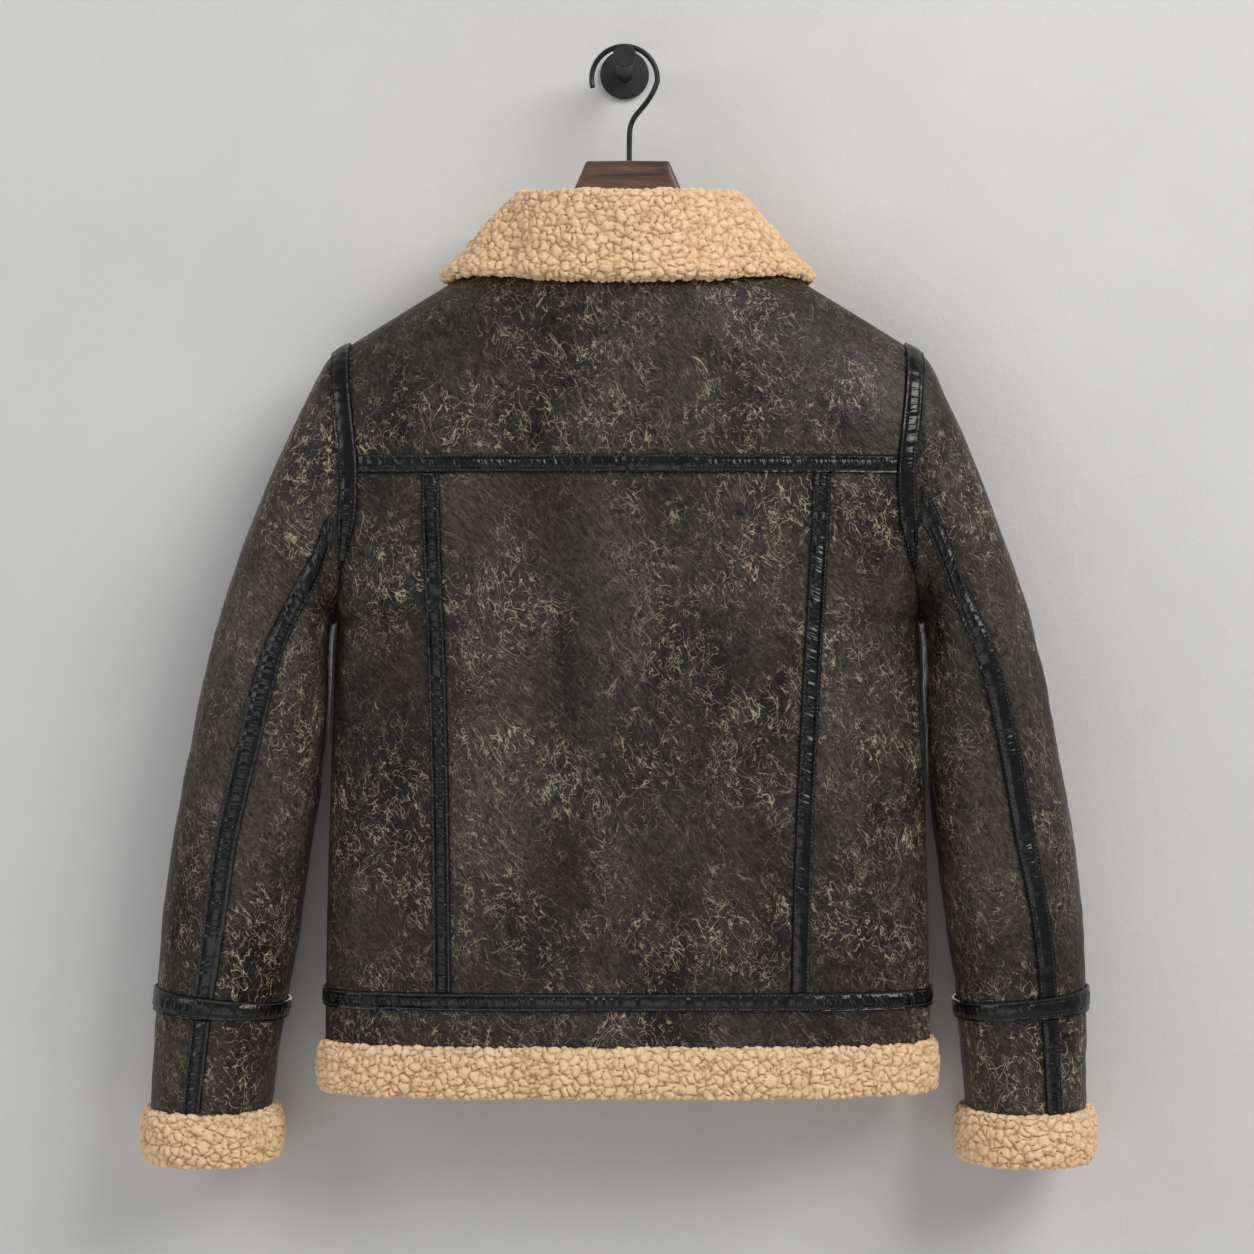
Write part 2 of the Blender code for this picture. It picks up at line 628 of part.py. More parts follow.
def long_strip(name, side, stations, trim):
    """A strip along the sleeve's back seam."""
    centre = split_angle(stations, side)
    spread = STRIP_OFFSETS[:, None] / 0.053
    angle = centre + spread
    base = sleeve_points(np.broadcast_to(stations, angle.shape), angle, side)
    middle = sleeve_points(stations, np.zeros(len(stations)), side)
    middle = (middle + sleeve_points(stations, np.full(len(stations), math.pi), side)) / 2
    strip_from(name, base, facing(base, outward(base), middle), trim)


def armhole_strip(name, side, trim):
    """A strip over the armhole seam: half of it lies on the body, half on the sleeve's head."""
    sign = -1.0 if side == "left" else 1.0
    angle = np.radians(np.linspace(-ARMHOLE_STRIP_TURN, ARMHOLE_STRIP_TURN, 25))
    fine = np.linspace(0, 4, 161)[:, None]
    station, turn = np.broadcast_arrays(fine, angle[None, :])
    field = sleeve_points(station, turn, side)
    run = np.linalg.norm(np.diff(field, axis=0), axis=2).cumsum(axis=0)
    reached = np.argmax(run > STRIP_WIDTH / 2, axis=0)
    on_sleeve = field[reached + 1, np.arange(len(angle))]
    on_seam = field[0]
    z = on_seam[:, 2]
    q = 1 - STRIP_WIDTH / 2 / body(z, "half_width")
    top = top_z(q, "back", 0.0)
    share = np.clip((SHOULDER_Z - z) / (SHOULDER_Z - ARM_Z), 0, 1)
    height = np.where(z > ARM_Z, top - share * (top - ARM_Z), z)
    behind = body_points(sign * q, height, "back")
    before = body_points(sign * q, height, "front")
    on_body = np.where(angle[:, None] >= 0, behind, before)
    base = np.stack([on_body, on_seam, on_sleeve])
    middle = np.array([on_seam[:, 0].mean(), MID_Y, ARM_Z])
    out = facing(base, outward(base), middle)
    strip_from(name, base + out * ARMHOLE_STRIP_LIFT, out, trim)


def cuff_fur(name, side, fleece):
    """The fleece cuff: a rounded band carried round the sleeve's end."""
    band = rounded_band(0.0, -CUFF_FUR_HEIGHT, CUFF_FUR_OUT, CUFF_FUR_IN, 0.010)
    angle = np.linspace(0, 2 * math.pi, RING_SIDES, endpoint=False)
    rings = []
    for offset, height in band:
        ring = sleeve_points(np.full(len(angle), CUFF_END), angle, side, -offset)
        ring[:, 2] += height - GAP
        rings.append(ring)
    sweep(name, np.stack(rings, axis=1), fleece, closed=True)


def fall_foot(angle, z):
    """Where the collar's fall rests, going out from the neck at an angle: just clear of the body."""
    face = "back" if math.cos(angle) >= 0 else "front"
    reach = np.linspace(0.02, 0.17, 601)
    x, y = reach * math.sin(angle), np.abs(reach * math.cos(angle))
    q = np.clip(np.abs(x) / SHOULDER_X, 0, 1)
    level = np.full(len(reach), z)
    covered = (y <= body_depth(q, level, face)) & (z <= top_z(q, face, 0.0))
    last = reach[covered].max() + (FALL_CLEAR_BACK if face == "back" else FALL_CLEAR_FRONT)
    return np.array([last * math.sin(angle), -last * math.cos(angle)])


def collar(fleece):
    """The folded collar: a stand on the neck edge, a rolled top and a fall that lies on the shoulders."""
    loops = []
    for angle in np.linspace(-COLLAR_REACH, COLLAR_REACH, COLLAR_STATIONS):
        degrees = abs(math.degrees(angle))
        known = column(COLLAR_COLUMNS, COLLAR_ROWS, "angle")
        roll_z = float(smooth(degrees, known, column(COLLAR_COLUMNS, COLLAR_ROWS, "roll_z")))
        fall_z = float(smooth(degrees, known, column(COLLAR_COLUMNS, COLLAR_ROWS, "fall_z")))
        back_side = math.cos(angle) >= 0
        depth = NECK_BACK_DEPTH if back_side else NECK_FRONT_DEPTH
        dip = NECK_BACK_DIP if back_side else NECK_FRONT_DIP
        foot = np.array([NECK_HALF_WIDTH * math.sin(angle), -depth * math.cos(angle)])
        foot_z = NECK_Z - dip * math.cos(angle) ** 2 + (SEAT_GAP if back_side else 2 * SEAT_GAP)
        foot_rise = FRONT_FOOT_RISE * math.sqrt(max(0.0, -math.cos(angle)))
        fall = fall_foot(angle, fall_z)
        away = fall - foot
        reach = float(np.linalg.norm(away))
        straight = np.array([math.sin(angle), -math.cos(angle)])
        away = straight + (away / reach - straight) * min(max((reach - 0.010) / 0.014, 0.0), 1.0)
        away = away / np.linalg.norm(away)
        reach = max(reach, 0.0090)
        slant = 0.60 * SHOULDER_SLOPE * FALL_THICKNESS * abs(math.sin(angle)) ** 6
        outer = reach + FALL_THICKNESS
        gap_top = roll_z - SLIT_DROP
        profile = (
            (0.0, foot_z), (0.0, (foot_z + roll_z) / 2), (0.001, roll_z - 0.006), (0.005, roll_z - 0.001),
            (0.010, roll_z), (0.0165, roll_z - 0.004),
            (ROLL_REACH + (outer - ROLL_REACH) * 0.36, roll_z - 0.004 + (fall_z - roll_z) * 0.30),
            (ROLL_REACH + (outer - ROLL_REACH) * 0.74, roll_z - 0.004 + (fall_z - roll_z) * 0.66),
            (outer + 0.0008, fall_z + 0.007 - slant * 0.8), (outer - 0.002, fall_z + 0.0008 - slant),
            (outer - 0.006, fall_z - 0.0004 - slant * 0.25), (reach + 0.001, fall_z + 0.0012),
            (SLIT_REACH + (reach - SLIT_REACH) * 0.6, gap_top + (fall_z - gap_top) * 0.34),
            (SLIT_REACH, gap_top), (STAND_THICKNESS, gap_top - 0.002), (STAND_THICKNESS, foot_z + foot_rise),
        )
        loops.append([
            (CENTRE_X + foot[0] + away[0] * r, MID_Y + foot[1] + away[1] * r, z)
            for r, z in profile
        ])
    sweep("collar", np.array(loops), fleece)


def hanger(wood):
    """The hanger's bar: rounded sections from tip to tip, its top under the shoulders' inside."""
    known = column(HANGER_COLUMNS, HANGER_ROWS, "x")
    half = np.concatenate([[0, 0.030, 0.036, 0.042, 0.055, 0.067, 0.080],
                           np.linspace(0.105, 0.180, 3), [0.195, HANGER_HALF_LENGTH]])
    x = np.concatenate([-half[:0:-1], half])
    turn = np.linspace(0, 2 * math.pi, HANGER_SIDES, endpoint=False) + math.pi / HANGER_SIDES
    loops = []
    for place in x:
        power = 2 / np.interp(abs(place), (0.040, 0.070), (HANGER_MIDDLE_ROUNDING, HANGER_ARM_ROUNDING))
        top, bottom, thick = (float(np.interp(abs(place), known, column(HANGER_COLUMNS, HANGER_ROWS, name)))
                              for name in ("top_z", "bottom_z", "half_thickness"))
        y = thick * np.sign(np.cos(turn)) * np.abs(np.cos(turn)) ** power
        z = (top - bottom) / 2 * np.sign(np.sin(turn)) * np.abs(np.sin(turn)) ** power
        across = np.full(HANGER_SIDES, CENTRE_X + place)
        loops.append(np.stack([across, MID_Y + y, (top + bottom) / 2 + z], axis=1))
    sweep("hanger_wood", np.array(loops), wood)


def hook(wire):
    """The wire hook: an arc over the peg, a bend back under it and a straight shank to the hanger."""
    centre_z = STEM_RADIUS + GAP + WIRE_RADIUS - HOOK_RADIUS
    turns = np.linspace(HOOK_ARC_START, HOOK_ARC_END, 17)
    arc = [(HOOK_RADIUS * math.cos(turn), centre_z + HOOK_RADIUS * math.sin(turn)) for turn in turns]
    shank_end = HANGER_ROWS[0][1] + GAP
    route = np.array(arc + list(HOOK_BENDS) + [(SHANK_X, -0.066), (SHANK_X, shank_end)])
    along = np.gradient(route, axis=0)
    along /= np.linalg.norm(along, axis=1, keepdims=True)
    along[-1] = (0.0, -1.0)
    side = np.stack([-along[:, 1], along[:, 0]], axis=1)
    turn = np.linspace(0, 2 * math.pi, WIRE_SIDES, endpoint=False)
    loops = []
    for spot, square in zip(route, side):
        x = spot[0] + square[0] * WIRE_RADIUS * np.cos(turn)
        z = spot[1] + square[1] * WIRE_RADIUS * np.cos(turn)
        loops.append(np.stack([x, MID_Y + WIRE_RADIUS * np.sin(turn), z], axis=1))
    sweep("hanger_hook", np.array(loops), wire)


def peg(metal):
    """The wall peg, turned about Y: a flat rosette on the wall, a stem and a head."""
    head_y = PEG_LENGTH - HEAD_THICKNESS
    profile = (
        (0.0, ROSETTE_RADIUS), (ROSETTE_THICKNESS - EDGE_ROUND, ROSETTE_RADIUS),
        (ROSETTE_THICKNESS, ROSETTE_RADIUS - EDGE_ROUND), (ROSETTE_THICKNESS, STEM_RADIUS),
        (head_y, STEM_RADIUS), (head_y, HEAD_RADIUS - EDGE_ROUND), (head_y + EDGE_ROUND, HEAD_RADIUS),
        (PEG_LENGTH - EDGE_ROUND, HEAD_RADIUS), (PEG_LENGTH, HEAD_RADIUS - EDGE_ROUND),
    )
    turn = np.linspace(0, 2 * math.pi, PEG_SIDES, endpoint=False)
    loops = [
        np.stack([radius * np.cos(turn), np.full(PEG_SIDES, -distance), radius * np.sin(turn)], axis=1)
        for distance, radius in profile
    ]
    sweep("wall_peg", np.array(loops), metal)


def main():
    for old in list(bpy.data.objects):
        bpy.data.objects.remove(old, do_unlink=True)
    leather = material("worn_dark_leather", (0.030, 0.021, 0.017), 0.45)
    trim = material("glossy_black_trim", (0.008, 0.008, 0.010), 0.25)
    fleece = material("cream_fleece", (0.72, 0.52, 0.33), 0.95)
    wood = material("dark_walnut", (0.075, 0.030, 0.014), 0.40)
    wire = material("black_wire", (0.012, 0.012, 0.013), 0.35, 0.8)
    metal = material("matt_black_metal", (0.010, 0.010, 0.010), 0.55, 0.4)
    back(leather, trim)
    front(leather, trim)
    whole = yoke_columns()
    hem_fur("hem_fur_back", "back", whole, fleece)
    for side in ("left", "right"):
        hem_fur("hem_fur_front_" + side, "front", front_columns(side), fleece)
        sleeve(side, leather, trim, fleece)
    collar(fleece)
    hanger(wood)
    hook(wire)
    peg(metal)


main()
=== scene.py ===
"""The looks of a shearling jacket that hangs from a wooden hanger on a wall peg, seen from behind.

Metres, +Z up. The origin is the centre of the peg's flat back face, on the wall, the plane y = 0.
The jacket's back faces -Y. Each piece is a surface worked out with numpy from the garment's own sizes.
"""
import math

import bpy
import numpy as np
from bpy.props import FloatProperty, FloatVectorProperty
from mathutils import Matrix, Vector


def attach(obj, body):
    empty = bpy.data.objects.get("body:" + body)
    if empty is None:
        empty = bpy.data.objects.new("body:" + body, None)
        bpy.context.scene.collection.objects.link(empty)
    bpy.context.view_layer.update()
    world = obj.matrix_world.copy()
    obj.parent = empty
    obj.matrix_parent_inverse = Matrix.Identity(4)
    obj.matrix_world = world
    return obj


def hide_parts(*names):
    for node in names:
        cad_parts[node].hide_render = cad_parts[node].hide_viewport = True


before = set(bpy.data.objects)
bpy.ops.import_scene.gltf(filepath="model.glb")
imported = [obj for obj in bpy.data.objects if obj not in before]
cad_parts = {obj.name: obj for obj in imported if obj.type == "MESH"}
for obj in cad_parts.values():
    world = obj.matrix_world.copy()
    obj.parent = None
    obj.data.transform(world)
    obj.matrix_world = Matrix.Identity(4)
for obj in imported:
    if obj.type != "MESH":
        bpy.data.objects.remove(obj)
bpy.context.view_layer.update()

bl_info = {
    "name": "Shearling jacket",
    "version": (1, 0, 0),
    "blender": (4, 5, 0),
    "location": "3D View > Sidebar > Jacket",
    "description": "Builds the finished jacket, its hanger and its wall peg around the packed frame",
    "category": "Object",
}

BODY = "root"
BODY_MIDDLE = np.array([0.0025, -0.072, -0.5])

# Sizes shared with the frame's solids
GAP = 0.0003
SEAT_GAP = 0.0006
WALL = 0.005
CENTRE_X = 0.0025
MID_Y = -0.072
FRONT_SLIT = 0.0010
SIDE_POWER = 3.0
CREST_POWER = 2.2
YOKE_Z = -0.3285
HEM_SEAM_Z = -0.7485
FUR_TOP_Z = -0.7835
FUR_BOTTOM_Z = -0.8235
NECK_HALF_WIDTH = 0.077
NECK_Z = -0.142
NECK_BACK_DEPTH = 0.055
NECK_FRONT_DEPTH = 0.042
NECK_BACK_DIP = 0.016
NECK_FRONT_DIP = 0.060
SHOULDER_X = 0.2275
SHOULDER_SLOPE = 0.616
SHOULDER_Z = NECK_Z - (SHOULDER_X - NECK_HALF_WIDTH) * SHOULDER_SLOPE
UNDERARM_Z = -0.450
ARM_Z = (SHOULDER_Z + UNDERARM_Z) / 2
ARM_HALF_HEIGHT = (SHOULDER_Z - UNDERARM_Z) / 2
ARM_HALF_DEPTH = 0.052
NECK_Q = NECK_HALF_WIDTH / SHOULDER_X
STRIP_WIDTH = 0.0145
STRIP_THICKNESS = 0.0022
STRIP_LIFT = 0.0006
ARMHOLE_STRIP_LIFT = 0.0009
CUFF_STRIP_LIFT = 0.0012
CUFF_STRIP_UP = 0.095
CUFF_STRIP_DOWN = 0.135
HEM_FUR_OUT = 0.0062
HEM_FUR_IN = 0.0100
CUFF_FUR_OUT = 0.0080
CUFF_FUR_IN = 0.0085
CUFF_FUR_HEIGHT = 0.0420

BODY_COLUMNS = ("z", "half_width", "back_depth", "front_depth")
BODY_ROWS = (
    (-0.142, 0.2275, 0.0640, 0.0500),
    (-0.236, 0.2275, 0.0655, 0.0560),
    (-0.295, 0.2219, 0.0660, 0.0590),
    (-0.329, 0.2180, 0.0660, 0.0600),
    (-0.363, 0.2185, 0.0660, 0.0600),
    (-0.402, 0.2235, 0.0655, 0.0600),
    (-0.450, 0.2312, 0.0645, 0.0590),
    (-0.514, 0.2344, 0.0630, 0.0575),
    (-0.600, 0.2375, 0.0610, 0.0550),
    (-0.700, 0.2400, 0.0590, 0.0530),
    (-0.785, 0.2412, 0.0580, 0.0520),
    (-0.830, 0.2412, 0.0580, 0.0520),
)
SEAM_COLUMNS = ("z", "left", "right")
SEAM_ROWS = (
    (-0.3285, 0.1535, 0.1515),
    (-0.3700, 0.1528, 0.1500),
    (-0.5110, 0.1479, 0.1423),
    (-0.7485, 0.1450, 0.1346),
    (-0.7850, 0.1450, 0.1346),
)
# Columns: face, x_top, x_bottom, z_top, z_bottom, half_width, depth
FOLD_ROWS = (
    ("back", -0.112, -0.098, -0.220, -0.318, 0.018, 0.0030),
    ("back", -0.072, -0.060, -0.230, -0.320, 0.016, 0.0022),
    ("back", 0.070, 0.062, -0.225, -0.318, 0.018, 0.0028),
    ("back", 0.128, 0.112, -0.240, -0.320, 0.016, 0.0018),
    ("back", -0.066, -0.060, -0.345, -0.640, 0.024, 0.0026),
    ("back", 0.058, 0.070, -0.360, -0.560, 0.026, 0.0022),
    ("back", -0.196, -0.170, -0.440, -0.600, 0.020, 0.0028),
    ("back", 0.196, 0.168, -0.440, -0.590, 0.020, 0.0024),
    ("back", 0.010, 0.016, -0.520, -0.730, 0.030, 0.0018),
    ("front", -0.150, -0.120, -0.300, -0.560, 0.026, 0.0030),
    ("front", 0.150, 0.125, -0.310, -0.580, 0.026, 0.0028),
    ("front", -0.070, -0.060, -0.420, -0.700, 0.024, 0.0022),
    ("front", 0.075, 0.066, -0.400, -0.690, 0.024, 0.0022),
)
SLEEVE_COLUMNS = (
    "outer_left", "outer_right", "outer_z", "inner_left", "inner_right", "inner_z",
    "centre_y", "half_depth", "split_left", "split_right",
)
SLEEVE_ROWS = (
    (0.2275, 0.2275, SHOULDER_Z, 0.2312, 0.2312, UNDERARM_Z, -0.0720, 0.0520, -0.29, -0.08),
    (0.2405, 0.2403, -0.2440, 0.2348, 0.2344, -0.4535, -0.0720, 0.0530, -0.36, -0.20),
    (0.2565, 0.2547, -0.2742, 0.2358, 0.2352, -0.4580, -0.0720, 0.0540, -0.40, -0.20),
    (0.2717, 0.2691, -0.3062, 0.2366, 0.2360, -0.4640, -0.0720, 0.0550, -0.38, -0.20),
    (0.2925, 0.2883, -0.3542, 0.2374, 0.2368, -0.4750, -0.0720, 0.0555, -0.30, -0.19),
    (0.3109, 0.3059, -0.4022, 0.2380, 0.2373, -0.4920, -0.0715, 0.0560, -0.18, -0.08),
    (0.3269, 0.3219, -0.4502, 0.2386, 0.2378, -0.5130, -0.0705, 0.0560, -0.08, 0.04),
    (0.3437, 0.3379, -0.5142, 0.2421, 0.2395, -0.5622, -0.0690, 0.0555, 0.02, 0.14),
    (0.3597, 0.3531, -0.5942, 0.2553, 0.2483, -0.6422, -0.0670, 0.0540, 0.11, 0.18),
    (0.3709, 0.3627, -0.6742, 0.2657, 0.2587, -0.7142, -0.0650, 0.0520, 0.13, 0.27),
    (0.3772, 0.3672, -0.7500, 0.2745, 0.2645, -0.7590, -0.0630, 0.0500, 0.16, 0.30),
    (0.3821, 0.3675, -0.8395, 0.2861, 0.2715, -0.8395, -0.0610, 0.0480, 0.20, 0.34),
)
CUFF_SEAM = 10.0
CUFF_END = 11.0
FRONT_SEAM_ANGLE = math.radians(-110.0)
# Columns: station, angle in degrees, run along the sleeve, run around it, depth
SLEEVE_FOLD_ROWS = (
    (2.6, 62.0, 1.5, 0.22, 0.0034),
    (4.6, 96.0, 1.3, 0.24, 0.0032),
    (6.2, 42.0, 1.0, 0.26, 0.0028),
    (8.2, 108.0, 0.9, 0.26, 0.0022),
    (3.4, -58.0, 1.4, 0.24, 0.0032),
    (6.0, -92.0, 1.2, 0.26, 0.0028),
    (7.6, 12.0, 0.9, 0.30, 0.0022),
)
COLLAR_REACH = math.radians(170.0)
STAND_THICKNESS = 0.0060
FALL_THICKNESS = 0.0105
FRONT_FOOT_RISE = 0.0060
FALL_CLEAR_BACK = 0.0022
FALL_CLEAR_FRONT = 0.0065
ROLL_REACH = 0.0195
SLIT_REACH = 0.0085
SLIT_DROP = 0.0105
LEAST_REACH = 0.0090
COLLAR_COLUMNS = ("angle", "roll_z", "fall_z")
COLLAR_ROWS = (
    (0.0, -0.1165, -0.1850),
    (45.0, -0.1140, -0.1830),
    (90.0, -0.1115, -0.1755),
    (135.0, -0.1320, -0.2030),
    (180.0, -0.1700, -0.2250),
)
HANGER_HALF_LENGTH = 0.203
HANGER_COLUMNS = ("x", "top_z", "bottom_z", "half_thickness")
HANGER_ROWS = (
    (0.000, -0.0830, -0.1300, 0.0085),
    (0.033, -0.0832, -0.1330, 0.0085),
    (0.042, -0.1040, -0.1400, 0.0088),
    (0.055, -0.1320, -0.1560, 0.0085),
    (0.067, -0.1530, -0.1730, 0.0078),
    (0.080, -0.1540, -0.1760, 0.0090),
    (0.130, -0.1815, -0.2060, 0.0125),
    (0.180, -0.2123, -0.2340, 0.0140),
    (0.198, -0.2236, -0.2420, 0.0130),
    (0.203, -0.2285, -0.2390, 0.0095),
)
HANGER_MIDDLE_ROUNDING = 3.6
HANGER_ARM_ROUNDING = 2.3
WIRE_RADIUS = 0.00215
HOOK_RADIUS = 0.0263
HOOK_ARC_START = math.radians(196.0)
HOOK_ARC_END = math.radians(-6.0)
SHANK_X = 0.0038
HOOK_BENDS = ((0.0228, -0.0290), (0.0168, -0.0375), (0.0106, -0.0443), (0.0057, -0.0505), (0.0040, -0.0575))
ROSETTE_RADIUS = 0.0202
ROSETTE_THICKNESS = 0.004
STEM_RADIUS = 0.0065
HEAD_RADIUS = 0.0094
HEAD_THICKNESS = 0.005
PEG_LENGTH = 0.081

# Fineness of the finished surfaces
CLOTH_STEP = 0.0045
STRIP_STEP = 0.0014
HEM_FLEECE_STEP = 0.00112
COLLAR_FLEECE_STEP = 0.00125
SHARP_EDGE = math.radians(60.0)

# The strips' section: places across the width, and heights as shares of the thickness
STRIP_SHARES = np.array([-0.5, -0.47, -0.37, -0.25, 0.0, 0.25, 0.37, 0.47, 0.5])
STRIP_CROWN = np.array([0.40, 0.84, 0.58, 0.95, 1.0, 0.95, 0.58, 0.84, 0.40])
STRIP_MIDDLE = 4
STITCHED_LINES = (2, 6)
LEAST_CROWN = 0.0006
STITCH_PITCH = 0.0031
STITCH_LENGTH = 0.0022
STITCH_RADIUS = 0.00032
STITCH_SIDES = 6
# Columns: place along the stitch, size, rise
STITCH_ROWS = (
    (-0.50, 0.25, -0.60),
    (-0.36, 0.90, 0.10),
    (0.00, 1.00, 0.45),
    (0.36, 0.90, 0.10),
    (0.50, 0.25, -0.60),
)

# The fleece's curls; the sink is the share of a curl's height that lies below the plain band
CURL_SIZE = 0.0072
FINE_CURL_SIZE = 0.0041
CURL_SINK = 0.54

# The photo's view
PHOTO_CAMERA = (0.002, -2.273, -0.4558)
PHOTO_LENS = 78.95


def sign_of(place):
    """-1 for what lies left or at the back, 1 for what lies right or in front."""
    return -1.0 if place in ("left", "back") else 1.0


def distances(line):
    """Distances along a line of points, from its start."""
    return np.concatenate([[0], np.linalg.norm(np.diff(line, axis=0), axis=1).cumsum()])


def unit(vectors):
    """Vectors made one long."""
    return vectors / np.linalg.norm(vectors, axis=-1, keepdims=True)


def column(names, rows, name):
    """One named column of a table, as an array."""
    place = names.index(name)
    return np.array([row[place] for row in rows])


def smooth(at, known, values):
    """A smooth curve through a table's values: cubic between rows, with each row's mean slope."""
    order = np.argsort(known)
    known, values = np.asarray(known, float)[order], np.asarray(values, float)[order]
    slopes = np.gradient(values, known)
    at = np.clip(at, known[0], known[-1])
    cell = np.clip(np.searchsorted(known, at) - 1, 0, len(known) - 2)
    width = known[cell + 1] - known[cell]
    t = (at - known[cell]) / width
    start, end = values[cell], values[cell + 1]
    return (
        start * (2 * t**3 - 3 * t**2 + 1)
        + slopes[cell] * width * (t**3 - 2 * t**2 + t)
        + end * (3 * t**2 - 2 * t**3)
        + slopes[cell + 1] * width * (t**3 - t**2)
    )


def body(z, name):
    """One of the body's measures at a height, read smoothly from its table."""
    return smooth(z, column(BODY_COLUMNS, BODY_ROWS, "z"), column(BODY_COLUMNS, BODY_ROWS, name))


def crest(share):
    """How full the body is below its shoulder line: 0 on the line, 1 at the armhole's middle."""
    return np.clip(1 - (1 - np.clip(share, 0, 1)) ** CREST_POWER, 0, 1) ** (1 / CREST_POWER)


def neck_share(q):
    """A quarter round over the neck: 1 at the middle, 0 at the neck's edge."""
    return np.sqrt(np.clip(1 - (q / NECK_Q) ** 2, 0, 1))


def top_z(q, face, inset):
    """Height of the neck edge or of the shoulder line, for q from 0 in the middle to 1 at the shoulder."""
    dip = NECK_BACK_DIP if face == "back" else NECK_FRONT_DIP
    neck = NECK_Z - dip * neck_share(q) ** 2
    slope = NECK_Z - (q * SHOULDER_X - NECK_HALF_WIDTH) * SHOULDER_SLOPE
    drop = inset * math.hypot(1, SHOULDER_SLOPE) * np.clip(q / NECK_Q, 0, 1) ** 2
    return np.where(q < NECK_Q, neck, slope) - drop


def folds(x, z, face):
    """Depth of the soft folds, each a trough along its own slanting line."""
    total = np.zeros(np.broadcast(x, z).shape)
    for kind, x_top, x_bottom, z_top, z_bottom, half_width, depth in FOLD_ROWS:
        if kind == face:
            along = (z_top - z) / (z_top - z_bottom)
            line = x_top + (x_bottom - x_top) * along
            window = np.sin(math.pi * np.clip(along, 0, 1)) ** 2
            total = total + depth * window * np.exp(-(((x - line) / half_width) ** 2))
    return total


def body_depth(q, z, face, inset=0.0):
    """How far the body's wall stands from the middle plane at q, from -1 to 1, and at height z."""
    size = np.abs(q)
    full = body(z, face + "_depth") - inset
    arm = ARM_HALF_DEPTH - inset
    beside_arm = np.clip((z - UNDERARM_Z) / ARM_HALF_DEPTH, 0, 1)
    beside_arm = beside_arm**2 * (3 - 2 * beside_arm)
    across = np.clip(1 - size**SIDE_POWER, 0, 1) ** (1 / SIDE_POWER)
    across = across + (np.clip(1 - size**4, 0, 1) - across) * beside_arm
    top = top_z(size, face, inset)
    fill = crest((top - z) / (top - ARM_Z))
    neck_depth = NECK_BACK_DEPTH if face == "back" else NECK_FRONT_DEPTH
    edge = np.clip(neck_depth * neck_share(size) - inset, 0, None)
    upper = edge + (arm + (full - arm) * across - edge) * fill
    share = np.clip(np.abs(z - ARM_Z) / (ARM_HALF_HEIGHT - inset), 0, 1)
    side = arm * (1 - share**CREST_POWER) ** (1 / CREST_POWER)
    lower = side + (full - side) * across
    depth = np.where(z >= ARM_Z, upper, lower)
    return depth - folds(q * body(z, "half_width"), z, face) * across * fill


def body_points(q, z, face, inset=0.0):
    """Points of the body's wall. The wall's inside is the same form, smaller by inset."""
    open_arm = np.clip((z - UNDERARM_Z - inset) / (3 * WALL), 0, 1)
    side_inset = inset * (1 - open_arm) * np.abs(q) ** 9
    depth = np.maximum(body_depth(q, z, face, inset), 0) + GAP / 2
    x = CENTRE_X + q * (body(z, "half_width") - side_inset)
    return np.stack([x, MID_Y + sign_of(face) * depth, z], axis=-1)


def turn_of(q):
    """The turning angle that gives q on the body's rounded section."""
    return math.asin(min(1.0, q) ** (SIDE_POWER / 2))


def q_spread(start, end, count):
    """Signed q values from start to end, evenly spread in the turning angle, eased at the middle."""
    eased = []
    for edge in (start, end):
        turn = (turn_of(abs(edge)) / (math.pi / 2)) ** (1 / 1.4)
        eased.append(math.copysign(turn, edge))
    steps = np.linspace(eased[0], eased[1], count)
    return np.sign(steps) * np.sin(np.abs(steps) ** 1.4 * math.pi / 2) ** (2 / SIDE_POWER)


def seam_x(z, side):
    """How far a back seam lies from the middle at a height, read smoothly from its table."""
    return smooth(z, column(SEAM_COLUMNS, SEAM_ROWS, "z"), column(SEAM_COLUMNS, SEAM_ROWS, side))


def sleeve_table(station, side):
    """The sleeve's section at each station, read smoothly from the table."""
    known = np.arange(len(SLEEVE_ROWS), dtype=float)
    found = {}
    for name in SLEEVE_COLUMNS:
        found[name] = smooth(station, known, column(SLEEVE_COLUMNS, SLEEVE_ROWS, name))
    section = {"outer_x": found["outer_" + side], "inner_x": found["inner_" + side]}
    section["split"] = found["split_" + side]
    for name in ("outer_z", "inner_z", "centre_y", "half_depth"):
        section[name] = found[name]
    return section


def bent(value):
    """A cosine or sine pressed outwards a little, for a section fuller than an ellipse."""
    return np.sign(value) * np.abs(value) ** (2 / CREST_POWER)


